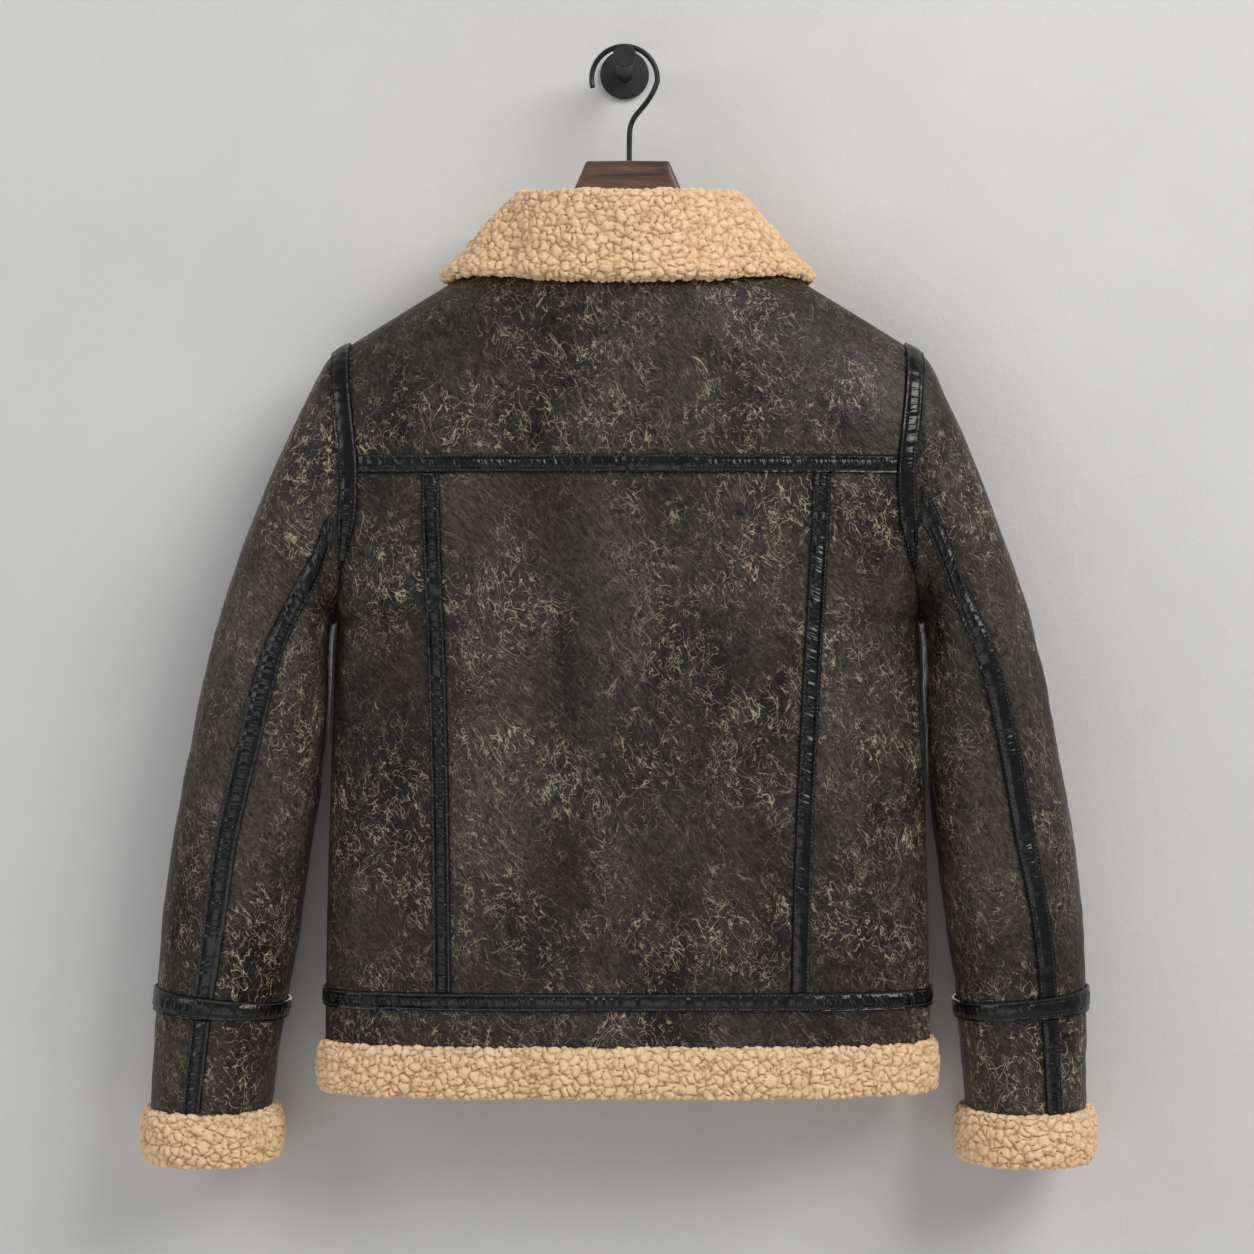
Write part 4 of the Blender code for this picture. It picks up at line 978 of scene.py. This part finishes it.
def collar_fleece(material):
    """The folded collar, all fleece."""
    rough = np.linspace(-COLLAR_REACH, COLLAR_REACH, 121)
    sections = np.array([collar_section(angle) for angle in rough])
    line = sections[:, 8]
    run = distances(line)
    at = np.linspace(0, run[-1], int(run[-1] / COLLAR_FLEECE_STEP))
    place = np.interp(at, run, np.arange(len(rough)))
    low = np.clip(place.astype(int), 0, len(rough) - 2)
    share = (place - low)[:, None, None]
    loops = sections[low] * (1 - share) + sections[low + 1] * share
    fleece_piece("fine_collar", "collar", round_loops(loops, 156, (3, 11)), 31, material)


def hanger_piece(material):
    """The hanger's wooden bar with a raised block in its middle."""
    known = column(HANGER_COLUMNS, HANGER_ROWS, "x")
    half = np.concatenate([np.linspace(0, 0.030, 9), np.linspace(0.030, 0.080, 30)[1:],
                           np.linspace(0.080, 0.198, 40)[1:], np.linspace(0.198, HANGER_HALF_LENGTH, 8)[1:]])
    x = np.concatenate([-half[:0:-1], half])
    turn = np.linspace(0, 2 * math.pi, 56, endpoint=False)
    loops = []
    for place in x:
        power = 2 / np.interp(abs(place), (0.040, 0.070), (HANGER_MIDDLE_ROUNDING, HANGER_ARM_ROUNDING))
        top, bottom, thick = (float(np.interp(abs(place), known, column(HANGER_COLUMNS, HANGER_ROWS, name)))
                              for name in ("top_z", "bottom_z", "half_thickness"))
        y = thick * np.sign(np.cos(turn)) * np.abs(np.cos(turn)) ** power
        z = (top - bottom) / 2 * np.sign(np.sin(turn)) * np.abs(np.sin(turn)) ** power
        loops.append(np.stack([np.full(56, CENTRE_X + place), MID_Y + y, (top + bottom) / 2 + z], axis=1))
    piece = loft_piece("hanger_wood_fine", np.array(loops), material)
    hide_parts("hanger_wood")


def hook_piece(material):
    """The wire hook: an arc over the peg, a bend back under it and a straight shank to the hanger."""
    centre_z = STEM_RADIUS + GAP + WIRE_RADIUS - HOOK_RADIUS
    turns = np.linspace(HOOK_ARC_START, HOOK_ARC_END, 61)
    arc = [(HOOK_RADIUS * math.cos(turn), centre_z + HOOK_RADIUS * math.sin(turn)) for turn in turns]
    route = np.array(arc + list(HOOK_BENDS) + [(SHANK_X, -0.066), (SHANK_X, HANGER_ROWS[0][1] + GAP)])
    for _ in range(2):
        middles = (route[:-1] + route[1:]) / 2
        route = np.concatenate([route[:1], np.stack([middles[:-1], (middles[:-1] + middles[1:]) / 2],
                                                    axis=1).reshape(-1, 2), middles[-1:], route[-1:]])
    along = unit(np.gradient(route, axis=0))
    along[-1] = (0.0, -1.0)
    square = np.stack([-along[:, 1], along[:, 0]], axis=1)
    size = np.full(len(route), WIRE_RADIUS)
    size[:4] *= (0.55, 0.85, 0.96, 1.0)
    turn = np.linspace(0, 2 * math.pi, 20, endpoint=False)
    x = route[:, :1] + square[:, :1] * size[:, None] * np.cos(turn)
    z = route[:, 1:] + square[:, 1:] * size[:, None] * np.cos(turn)
    y = MID_Y + size[:, None] * np.sin(turn)
    piece = loft_piece("hanger_hook_fine", np.stack([x, y, z], axis=2), material)
    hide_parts("hanger_hook")


def peg_piece(material):
    """The wall peg, turned about Y: a flat rosette on the wall, a stem and a head, with rounded edges."""
    head_y = PEG_LENGTH - HEAD_THICKNESS
    corners = (
        (0.0, ROSETTE_RADIUS, 0.0), (ROSETTE_THICKNESS, ROSETTE_RADIUS, 0.0011),
        (ROSETTE_THICKNESS, STEM_RADIUS, 0.0004), (head_y, STEM_RADIUS, 0.0004),
        (head_y, HEAD_RADIUS, 0.0009), (PEG_LENGTH, HEAD_RADIUS, 0.0013), (PEG_LENGTH, 0.0, 0.0),
    )
    profile = [(0.0, 0.0015), corners[0][:2]]
    for before, corner, after in zip(corners, corners[1:], corners[2:]):
        spot = np.array(corner[:2])
        back = np.array(before[:2]) - spot
        forth = np.array(after[:2]) - spot
        start = spot + back / np.linalg.norm(back) * corner[2]
        end = spot + forth / np.linalg.norm(forth) * corner[2]
        for t in np.linspace(0, 1, 6):
            profile.append(tuple((1 - t) ** 2 * start + 2 * t * (1 - t) * spot + t**2 * end))
    profile.append((PEG_LENGTH, 0.0015))
    turn = np.linspace(0, 2 * math.pi, 72, endpoint=False)
    loops = [np.stack([radius * np.cos(turn), np.full(72, -distance), radius * np.sin(turn)], axis=1)
             for distance, radius in profile]
    piece = loft_piece("wall_peg_fine", np.array(loops), material)
    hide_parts("wall_peg")


def shader_of(name, roughness, metallic=0.0, specular=0.5):
    """A fresh material and its node tree, with its plain numbers set on the shader's own sockets."""
    made = bpy.data.materials.new(name)
    made.use_nodes = True
    shader = made.node_tree.nodes["Principled BSDF"]
    shader.inputs["Roughness"].default_value = roughness
    shader.inputs["Metallic"].default_value = metallic
    shader.inputs["Specular IOR Level"].default_value = specular
    return made, made.node_tree, shader


def add_node(tree, kind, settings=None, **inputs):
    """One node, with its settings and inputs: a value sets a socket, another node's socket links to it."""
    node = tree.nodes.new("ShaderNode" + kind)
    for key, value in (settings or {}).items():
        setattr(node, key, value)
    for key, value in inputs.items():
        socket = node.inputs[int(key[1:])] if key[0] == "i" and key[1:].isdigit() else node.inputs[key]
        if isinstance(value, bpy.types.NodeSocket):
            tree.links.new(value, socket)
        else:
            socket.default_value = value
    return node


def object_place(tree, scale=(1.0, 1.0, 1.0)):
    """Object coordinates, stretched by a Mapping node."""
    coordinates = add_node(tree, "TexCoord")
    return add_node(tree, "Mapping", Vector=coordinates.outputs["Object"], Scale=scale).outputs[0]


def noise(tree, place, scale, detail=3.0, rough=0.5):
    """A noise's value, from 0 to 1, about 0.5 on average."""
    node = add_node(tree, "TexNoise", Vector=place, Scale=scale, Detail=detail, Roughness=rough)
    return node.outputs["Fac"]


def scaled(tree, colour, amount):
    """A colour or a place, times an amount."""
    return add_node(tree, "VectorMath", {"operation": "SCALE"}, i0=colour, Scale=amount).outputs[0]


def band(tree, value, low, high, to_low=0.0, to_high=1.0):
    """Carries a value's range low..high to the range to_low..to_high, without going past either end."""
    node = add_node(tree, "MapRange", {"clamp": True}, Value=value)
    for key, number in (("From Min", low), ("From Max", high), ("To Min", to_low), ("To Max", to_high)):
        node.inputs[key].default_value = number
    return node.outputs["Result"]


def arithmetic(tree, kind, first, second=0.0):
    """One sum, product or other step with one or two values."""
    return add_node(tree, "Math", {"operation": kind}, i0=first, i1=second).outputs[0]


def blend_colours(tree, share, first, second):
    """One colour over another by a share; the colours are tuples or sockets."""
    node = add_node(tree, "Mix", {"data_type": "RGBA"})
    for key, value in ((0, share), (6, first), (7, second)):
        if isinstance(value, bpy.types.NodeSocket):
            tree.links.new(value, node.inputs[key])
        else:
            node.inputs[key].default_value = value if isinstance(value, float) else (*value, 1.0)
    return node.outputs[2]


def relief_on(tree, shader, height, distance, strength=1.0):
    """Raises a surface's shading by a height from 0 to 1."""
    bump = add_node(tree, "Bump", Height=height, Distance=distance, Strength=strength)
    tree.links.new(bump.outputs["Normal"], shader.inputs["Normal"])


def warped_place(tree, scale, amount):
    """Object coordinates pushed about by a noise, so that straight cells turn curly."""
    place = object_place(tree)
    push = add_node(tree, "TexNoise", Vector=place, Scale=scale, Detail=2.0)
    centred = add_node(
        tree, "VectorMath", {"operation": "SUBTRACT"}, i0=push.outputs["Color"], i1=(0.5, 0.5, 0.5))
    pushed = scaled(tree, centred.outputs[0], amount)
    return add_node(tree, "VectorMath", {"operation": "ADD"}, i0=place, i1=pushed).outputs[0]


def hairlines(tree, place, scale, width):
    """Thin lines along the borders of cells, from 0 to 1."""
    cell = add_node(tree, "TexVoronoi", {"feature": "DISTANCE_TO_EDGE"}, Vector=place, Scale=scale)
    return band(tree, cell.outputs["Distance"], 0.0, width, 1.0, 0.0)


def long_scratches(tree, place, scale, width):
    """Long curved scratches: the thin level lines of a broad noise, from 0 to 1."""
    field = noise(tree, place, scale, 1.0)
    away = arithmetic(tree, "ABSOLUTE", arithmetic(tree, "SUBTRACT", field, 0.5))
    return band(tree, away, 0.0, width, 1.0, 0.0)


def slanted_place(tree, place, turn, stretch):
    """Coordinates turned about the jacket's depth and then drawn long, for lines that lean."""
    turned = add_node(tree, "Mapping", Vector=place, Rotation=(0.0, turn, 0.0)).outputs[0]
    return add_node(tree, "Mapping", Vector=turned, Scale=(1.0, 1.0, stretch)).outputs[0]


def short_hairs(tree, place, shift, scale, width, break_scale):
    """Short separate hairs: thin level lines of a noise, kept only in stretches, from 0 to 1."""
    moved = add_node(tree, "Mapping", Vector=place, Location=shift).outputs[0]
    kept = band(tree, noise(tree, moved, break_scale, 1.0), 0.51, 0.59)
    return arithmetic(tree, "MULTIPLY", long_scratches(tree, moved, scale, width), kept)


def scratch_web(tree, place, shift, scale, width, break_scale):
    """Short curly scratches: the borders of shifted cells, broken by a finer noise, from 0 to 1."""
    moved = add_node(tree, "Mapping", Vector=place, Location=shift).outputs[0]
    broken = band(tree, noise(tree, moved, break_scale, 2.0, 0.6), 0.49, 0.57)
    return arithmetic(tree, "MULTIPLY", hairlines(tree, moved, scale, width), broken)


def worn_leather():
    """Dark brown leather: clouded, rubbed paler in places, covered with short tan hairs, finely wrinkled."""
    jacket = bpy.context.scene.jacket
    made, tree, shader = shader_of("worn_leather", 0.5, specular=0.20)
    plain = object_place(tree)
    hanging = object_place(tree, (1.0, 1.0, 0.42))
    curly = warped_place(tree, 85.0, 0.0085)
    loose = warped_place(tree, 14.0, 0.035)
    cloud = band(tree, noise(tree, hanging, 21.0, 5.0, 0.6), 0.36, 0.66)
    patch = band(tree, noise(tree, hanging, 8.5, 3.0, 0.55), 0.45, 0.68)
    warm = band(tree, noise(tree, plain, 13.0, 3.0, 0.6), 0.44, 0.64)
    dark = tuple(0.15 * part for part in jacket.leather_colour)
    pale = tuple(2.2 * part for part in jacket.leather_colour)
    brown = tuple(part * shade for part, shade in zip(jacket.leather_colour, (1.32, 0.98, 0.68)))
    colour = blend_colours(tree, cloud, dark, tuple(jacket.leather_colour))
    colour = blend_colours(tree, arithmetic(tree, "MULTIPLY", warm, 0.55), colour, brown)
    colour = blend_colours(tree, arithmetic(tree, "MULTIPLY", patch, 0.78), colour, pale)
    falling = slanted_place(tree, loose, 0.65, 0.34)
    rising = slanted_place(tree, loose, -0.50, 0.40)
    streak = band(tree, noise(tree, falling, 430.0, 3.0, 0.65), 0.36, 0.68, 0.38, 1.7)
    colour = scaled(tree, colour, streak)
    rubbed = band(tree, noise(tree, plain, 15.0, 4.0, 0.6), 0.40, 0.62, 0.14, 1.0)
    web = scratch_web(tree, curly, (0.31, 0.17, 0.23), 130.0, 0.045, 170.0)
    web = arithmetic(tree, "MULTIPLY", web, 0.30)
    for place, shift, scale, width, break_scale in (
        (falling, (0.0, 0.0, 0.0), 165.0, 0.019, 105.0),
        (falling, (0.37, 0.21, 0.13), 250.0, 0.026, 160.0),
        (rising, (0.11, 0.43, 0.37), 185.0, 0.020, 120.0),
        (curly, (0.23, 0.31, 0.17), 120.0, 0.017, 130.0),
    ):
        web = arithmetic(tree, "MAXIMUM", web, short_hairs(tree, place, shift, scale, width, break_scale))
    web = arithmetic(tree, "MULTIPLY", web, rubbed)
    long_mask = band(tree, noise(tree, plain, 30.0, 3.0, 0.6), 0.585, 0.66)
    long = arithmetic(tree, "MULTIPLY", long_scratches(tree, loose, 13.0, 0.0022), long_mask)
    scratched = arithmetic(tree, "MULTIPLY", arithmetic(tree, "MAXIMUM", web, long), jacket.wear)
    colour = blend_colours(tree, scratched, colour, tuple(jacket.scratch_colour))
    tree.links.new(colour, shader.inputs["Base Color"])
    tree.links.new(band(tree, cloud, 0.0, 1.0, 0.38, 0.56), shader.inputs["Roughness"])
    pebble = add_node(tree, "TexVoronoi", {"feature": "SMOOTH_F1"}, Vector=curly, Scale=330.0)
    grain = arithmetic(tree, "MULTIPLY", pebble.outputs["Distance"], 0.30)
    wrinkle = arithmetic(tree, "MULTIPLY", noise(tree, curly, 150.0, 5.0, 0.62), 1.1)
    swell = arithmetic(tree, "MULTIPLY", noise(tree, hanging, 36.0, 3.0, 0.5), 2.6)
    height = arithmetic(tree, "ADD", arithmetic(tree, "ADD", grain, wrinkle), swell)
    relief_on(tree, shader, height, 0.0013, 0.8)
    return made


def glossy_trim():
    """The strips' smooth black leather, puckered in stretches, square to its run, between its stitches."""
    made, tree, shader = shader_of("glossy_black_trim", 0.24, specular=0.36)
    place = object_place(tree)
    run = add_node(tree, "Attribute", {"attribute_name": "run"}).outputs["Fac"]
    across = add_node(tree, "Attribute", {"attribute_name": "across"}).outputs["Fac"]
    slanted = arithmetic(tree, "ADD", run, arithmetic(tree, "MULTIPLY", across, 0.30))
    flat = add_node(tree, "CombineXYZ", i0=slanted, i1=arithmetic(tree, "MULTIPLY", across, 0.10)).outputs[0]
    drift = scaled(tree, place, 0.10)
    along = add_node(tree, "VectorMath", {"operation": "ADD"}, i0=flat, i1=drift).outputs[0]
    tint = band(tree, noise(tree, place, 55.0, 4.0, 0.6), 0.35, 0.7)
    tree.links.new(blend_colours(tree, tint, (0.0022, 0.0023, 0.0025), (0.0065, 0.0064, 0.0062)),
                   shader.inputs["Base Color"])
    gloss = band(tree, noise(tree, place, 60.0, 2.0, 0.5), 0.3, 0.7, 0.19, 0.29)
    tree.links.new(gloss, shader.inputs["Roughness"])
    middle = band(tree, arithmetic(tree, "ABSOLUTE", across), 0.0026, 0.0050, 1.0, 0.0)
    gathered = band(tree, noise(tree, place, 13.0, 2.0, 0.5), 0.42, 0.58, 0.08, 1.15)
    pucker = arithmetic(tree, "MULTIPLY", noise(tree, along, 260.0, 1.0, 0.4), middle)
    pucker = arithmetic(tree, "MULTIPLY", pucker, gathered)
    grain = arithmetic(tree, "MULTIPLY", noise(tree, place, 420.0, 2.0, 0.5), 0.05)
    relief_on(tree, shader, arithmetic(tree, "ADD", pucker, grain), 0.0030, 0.9)
    return made


def plain_finish(name, numbers, tint, dark, pale, gloss, grain):
    """A finish of one main tone, clouded from dark to pale, uneven in gloss and finely grained.

    numbers: roughness, metallic and specular. tint: a noise's scale, detail, low and high. gloss: a noise's
    scale, detail, low and high roughness, or None. grain: a noise's scale and detail, height and strength."""
    made, tree, shader = shader_of(name, *numbers)
    place = object_place(tree)
    share = band(tree, noise(tree, place, *tint[:2]), *tint[2:])
    tree.links.new(blend_colours(tree, share, dark, pale), shader.inputs["Base Color"])
    if gloss:
        uneven = band(tree, noise(tree, place, *gloss[:2]), 0.3, 0.7, *gloss[2:])
        tree.links.new(uneven, shader.inputs["Roughness"])
    relief_on(tree, shader, noise(tree, place, *grain[:2]), *grain[2:])
    return made


def waxed_thread():
    """The strips' stitching: dark waxed thread, uneven in tone from stitch to stitch."""
    return plain_finish(
        "waxed_thread", (0.5, 0.0, 0.4), (240.0, 2.0, 0.35, 0.65),
        (0.010, 0.010, 0.010), (0.085, 0.083, 0.080), None, (2600.0, 1.0, 0.0002, 0.6))


def black_wire():
    """The hook's drawn wire in satin black."""
    return plain_finish(
        "black_wire", (0.32, 0.6, 0.5), (90.0, 4.0, 0.35, 0.7),
        (0.010, 0.010, 0.011), (0.036, 0.036, 0.038), (320.0, 3.0, 0.26, 0.44), (900.0, 2.0, 0.0002, 0.4))


def powder_black():
    """The peg's matt powder coat, with its faint orange peel."""
    return plain_finish(
        "matt_black_metal", (0.5, 0.3, 0.5), (60.0, 3.0, 0.35, 0.7),
        (0.009, 0.009, 0.010), (0.024, 0.024, 0.025), (500.0, 3.0, 0.40, 0.62), (1100.0, 3.0, 0.0004, 0.6))


def curly_fleece():
    """Cream fleece with fine fibres. Its tone follows the curls' height: painted shade, darker and warmer, in
    the creases, and painted light on the paler curl tops.
    """
    jacket = bpy.context.scene.jacket
    made, tree, shader = shader_of("curly_fleece", 0.92, specular=0.12)
    shader.inputs["Sheen Weight"].default_value = 0.30
    shader.inputs["Sheen Roughness"].default_value = 0.55
    shader.inputs["Sheen Tint"].default_value = (1.0, 0.86, 0.68, 1.0)
    place = object_place(tree)
    curl = add_node(tree, "Attribute", {"attribute_name": "curl"}).outputs["Fac"]
    uneven = noise(tree, place, 26.0, 3.0, 0.6)
    depth = arithmetic(tree, "ADD", band(tree, curl, 0.10, 0.92), arithmetic(tree, "MULTIPLY", uneven, 0.45))
    # Painted shade and light: the creases get a darker, warmer copy of the fleece tone, the curl tops a paler
    # copy.
    crease_shade = tuple(part * shade for part, shade in zip(jacket.fleece_colour, (0.38, 0.29, 0.21)))
    top = tuple(min(1.0, part * shade) for part, shade in zip(jacket.fleece_colour, (1.16, 1.22, 1.32)))
    colour = blend_colours(tree, band(tree, depth, 0.18, 0.75), crease_shade, tuple(jacket.fleece_colour))
    colour = blend_colours(tree, band(tree, depth, 0.78, 1.25), colour, top)
    fibre = band(tree, noise(tree, place, 620.0, 4.0, 0.7), 0.25, 0.75, 0.86, 1.12)
    colour = scaled(tree, colour, fibre)
    tree.links.new(colour, shader.inputs["Base Color"])
    tuft = arithmetic(tree, "MULTIPLY", noise(tree, place, 330.0, 4.0, 0.65), 1.0)
    hair = arithmetic(tree, "MULTIPLY", noise(tree, place, 1500.0, 2.0, 0.6), 0.4)
    relief_on(tree, shader, arithmetic(tree, "ADD", tuft, hair), 0.0013, 0.9)
    return made


def oiled_walnut():
    """Dark walnut: long grain along the bar, with fine pores and a thin finish."""
    made, tree, shader = shader_of("oiled_walnut", 0.42)
    shader.inputs["Coat Weight"].default_value = 0.15
    shader.inputs["Coat Roughness"].default_value = 0.35
    long_place = object_place(tree, (5.0, 60.0, 60.0))
    ring = noise(tree, long_place, 3.2, 6.0, 0.6)
    pore = noise(tree, object_place(tree, (14.0, 420.0, 420.0)), 3.0, 3.0, 0.6)
    colour = blend_colours(tree, band(tree, ring, 0.34, 0.66), (0.046, 0.0205, 0.0115), (0.158, 0.076, 0.042))
    dark = blend_colours(tree, band(tree, pore, 0.56, 0.70), (1.0, 1.0, 1.0), (0.42, 0.38, 0.34))
    colour = add_node(tree, "VectorMath", {"operation": "MULTIPLY"}, i0=colour, i1=dark).outputs[0]
    tree.links.new(colour, shader.inputs["Base Color"])
    tree.links.new(band(tree, ring, 0.3, 0.7, 0.36, 0.52), shader.inputs["Roughness"])
    relief_on(tree, shader, arithmetic(tree, "SUBTRACT", ring, pore), 0.0004, 0.5)
    return made


def painted_plaster(name, colour, one_sided):
    """Pale painted plaster, cloudy and finely stippled. One-sided, it lets views and light from behind in."""
    made, tree, shader = shader_of(name, 0.85, specular=0.25)
    place = object_place(tree)
    cloud = band(tree, noise(tree, place, 5.0, 5.0, 0.6), 0.3, 0.7, 0.965, 1.03)
    tree.links.new(scaled(tree, colour, cloud), shader.inputs["Base Color"])
    stipple = arithmetic(tree, "ADD", noise(tree, place, 190.0, 4.0, 0.6), noise(tree, place, 22.0, 2.0))
    relief_on(tree, shader, stipple, 0.0012, 0.35)
    if one_sided:
        behind = add_node(tree, "NewGeometry").outputs["Backfacing"]
        lit_through = add_node(tree, "LightPath").outputs["Is Shadow Ray"]
        open_share = arithmetic(tree, "MAXIMUM", behind, lit_through)
        clear = add_node(tree, "BsdfTransparent").outputs[0]
        mixed = add_node(tree, "MixShader", i0=open_share, i1=shader.outputs[0], i2=clear)
        tree.links.new(mixed.outputs[0], tree.nodes["Material Output"].inputs["Surface"])
    return made


def stage_sheet(name, corners, material):
    """A flat sheet of the stage, one face."""
    mesh = bpy.data.meshes.new(name)
    mesh.from_pydata(corners, [], [(0, 1, 2, 3)])
    mesh.materials.append(material)
    sheet = bpy.data.objects.new(name, mesh)
    bpy.context.scene.collection.objects.link(sheet)


def soft_light(name, place, aim, size, power, colour):
    """A square area light at a place, turned to a point."""
    lamp = bpy.data.lights.new(name, "AREA")
    lamp.size = size
    lamp.energy = power
    lamp.color = colour
    holder = bpy.data.objects.new(name, lamp)
    holder.location = place
    holder.rotation_euler = (Vector(aim) - Vector(place)).to_track_quat("-Z", "Y").to_euler()
    bpy.context.scene.collection.objects.link(holder)


class JacketSettings(bpy.types.PropertyGroup):
    """The finishes and small forms that a user would change."""

    leather_colour: FloatVectorProperty(
        name="Leather colour", description="Main tone of the worn leather", subtype="COLOR", size=3,
        default=(0.0275, 0.0230, 0.0176), min=0.0, max=1.0)
    scratch_colour: FloatVectorProperty(
        name="Scratch colour", description="Tone of the rubbed scratches", subtype="COLOR", size=3,
        default=(0.44, 0.345, 0.23), min=0.0, max=1.0)
    wear: FloatProperty(
        name="Wear", description="How strongly the scratches show", subtype="FACTOR",
        default=0.9, min=0.0, max=1.0)
    leather_relief: FloatProperty(
        name="Leather relief", description="Height of the leather's unevenness", unit="LENGTH",
        subtype="DISTANCE", default=0.0007, min=0.0, max=0.0012)
    fleece_colour: FloatVectorProperty(
        name="Fleece colour", description="Main tone of the fleece", subtype="COLOR", size=3,
        default=(0.755, 0.502, 0.280), min=0.0, max=1.0)
    curl_height: FloatProperty(
        name="Curl height", description="How far the fleece's curls stand out", unit="LENGTH",
        subtype="DISTANCE", default=0.0044, min=0.0, max=0.006)
    pucker_depth: FloatProperty(
        name="Pucker depth", description="Height of the strips' puckers", unit="LENGTH", subtype="DISTANCE",
        default=0.00032, min=0.0, max=0.0006)
    wall_colour: FloatVectorProperty(
        name="Wall colour", description="Tone of the wall behind the jacket", subtype="COLOR", size=3,
        default=(0.60, 0.595, 0.585), min=0.0, max=1.0)
    key_light: FloatProperty(
        name="Key light", description="Power of the main soft light", unit="POWER", default=79.0, min=0.0)


class JACKET_OT_stage(bpy.types.Operator):
    """Builds the wall, the floor, the lights and the camera"""

    bl_idname = "jacket.stage"
    bl_label = "Stage"

    def execute(self, context):
        colour = tuple(context.scene.jacket.wall_colour)
        half, wall_y, out, floor_z, top_z = 3.0, 0.0006, -5.0, -1.75, 1.6
        low_left, low_right = (-half, wall_y, floor_z), (half, wall_y, floor_z)
        wall = [low_left, low_right, (half, wall_y, top_z), (-half, wall_y, top_z)]
        floor = [low_left, (-half, out, floor_z), (half, out, floor_z), low_right]
        stage_sheet("wall", wall, painted_plaster("wall_paint", colour, True))
        stage_sheet("floor", floor, painted_plaster("floor_paint", colour, False))
        power = context.scene.jacket.key_light
        soft_light("key", (1.75, -1.95, 1.30), (0.0, -0.05, -0.55), 1.8, power, (1.0, 0.985, 0.96))
        soft_light("fill", (-2.5, -1.9, 0.7), (0.0, -0.05, -0.5), 1.9, power * 0.38, (0.97, 0.985, 1.0))
        soft_light("low", (-0.5, -2.2, -1.55), (0.0, 0.0, -1.05), 1.8, power * 0.16, (1.0, 1.0, 1.0))
        soft_light("behind", (0.0, 3.6, -0.1), (0.0, 0.0, -0.45), 0.9, power * 0.40, (1.0, 0.99, 0.97))
        world = bpy.data.worlds.new("studio")
        world.use_nodes = True
        world.node_tree.nodes["Background"].inputs["Color"].default_value = (0.92, 0.95, 1.0, 1.0)
        world.node_tree.nodes["Background"].inputs["Strength"].default_value = 0.25
        context.scene.world = world
        lens = bpy.data.cameras.new("photo_view")
        lens.lens = PHOTO_LENS
        lens.sensor_width = 36.0
        camera = bpy.data.objects.new("photo_view", lens)
        camera.location = PHOTO_CAMERA
        camera.rotation_euler = (math.pi / 2, 0.0, 0.0)
        context.scene.collection.objects.link(camera)
        context.scene.camera = camera
        context.scene.view_settings.view_transform = "Standard"
        return {"FINISHED"}


class JACKET_OT_leather(bpy.types.Operator):
    """Builds the back, the fronts and the sleeves in worn leather"""

    bl_idname = "jacket.leather"
    bl_label = "Leather panels"

    def execute(self, context):
        leather = worn_leather()
        back_cloth(leather)
        front_cloth(leather)
        sleeves_cloth(leather)
        return {"FINISHED"}


class JACKET_OT_strips(bpy.types.Operator):
    """Builds the bound strips over the seams, with their stitching"""

    bl_idname = "jacket.strips"
    bl_label = "Bound strips"

    def execute(self, context):
        trim = glossy_trim()
        thread_piece(body_strips(trim) + sleeve_strips(trim), waxed_thread())
        return {"FINISHED"}


class JACKET_OT_fleece(bpy.types.Operator):
    """Builds the collar, the hem and the cuffs in fleece"""

    bl_idname = "jacket.fleece"
    bl_label = "Fleece"

    def execute(self, context):
        fleece = curly_fleece()
        slit = FRONT_SLIT / 2 / SHOULDER_X
        collar_fleece(fleece)
        hem_fleece("hem_fur_back", "back", -1.0, 1.0, 32, fleece)
        hem_fleece("hem_fur_front_left", "front", -1.0, -slit, 33, fleece)
        hem_fleece("hem_fur_front_right", "front", slit, 1.0, 34, fleece)
        cuff_fleece("left", 35, fleece)
        cuff_fleece("right", 36, fleece)
        return {"FINISHED"}


class JACKET_OT_hanger(bpy.types.Operator):
    """Builds the hanger, its hook and the wall peg"""

    bl_idname = "jacket.hanger"
    bl_label = "Hanger and peg"

    def execute(self, context):
        hanger_piece(oiled_walnut())
        hook_piece(black_wire())
        peg_piece(powder_black())
        return {"FINISHED"}


class JACKET_PT_sidebar(bpy.types.Panel):
    """The jacket's settings and its steps"""

    bl_idname = "JACKET_PT_sidebar"
    bl_label = "Shearling jacket"
    bl_space_type = "VIEW_3D"
    bl_region_type = "UI"
    bl_category = "Jacket"

    def draw(self, context):
        for name in JacketSettings.__annotations__:
            self.layout.prop(context.scene.jacket, name)
        for operator in OPERATORS:
            self.layout.operator(operator.bl_idname)


OPERATORS = (JACKET_OT_stage, JACKET_OT_hanger, JACKET_OT_leather, JACKET_OT_strips, JACKET_OT_fleece)


def register():
    """Adds the settings, the steps and the panel."""
    bpy.utils.register_class(JacketSettings)
    bpy.types.Scene.jacket = bpy.props.PointerProperty(type=JacketSettings)
    for each in (*OPERATORS, JACKET_PT_sidebar):
        bpy.utils.register_class(each)


def unregister():
    """Takes the panel, the steps and the settings out again."""
    for each in (JACKET_PT_sidebar, *reversed(OPERATORS)):
        bpy.utils.unregister_class(each)
    del bpy.types.Scene.jacket
    bpy.utils.unregister_class(JacketSettings)


def main():
    """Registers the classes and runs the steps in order."""
    register()
    bpy.ops.jacket.stage()
    bpy.ops.jacket.hanger()
    bpy.ops.jacket.leather()
    bpy.ops.jacket.strips()
    bpy.ops.jacket.fleece()


if __name__ == "__main__":
    main()
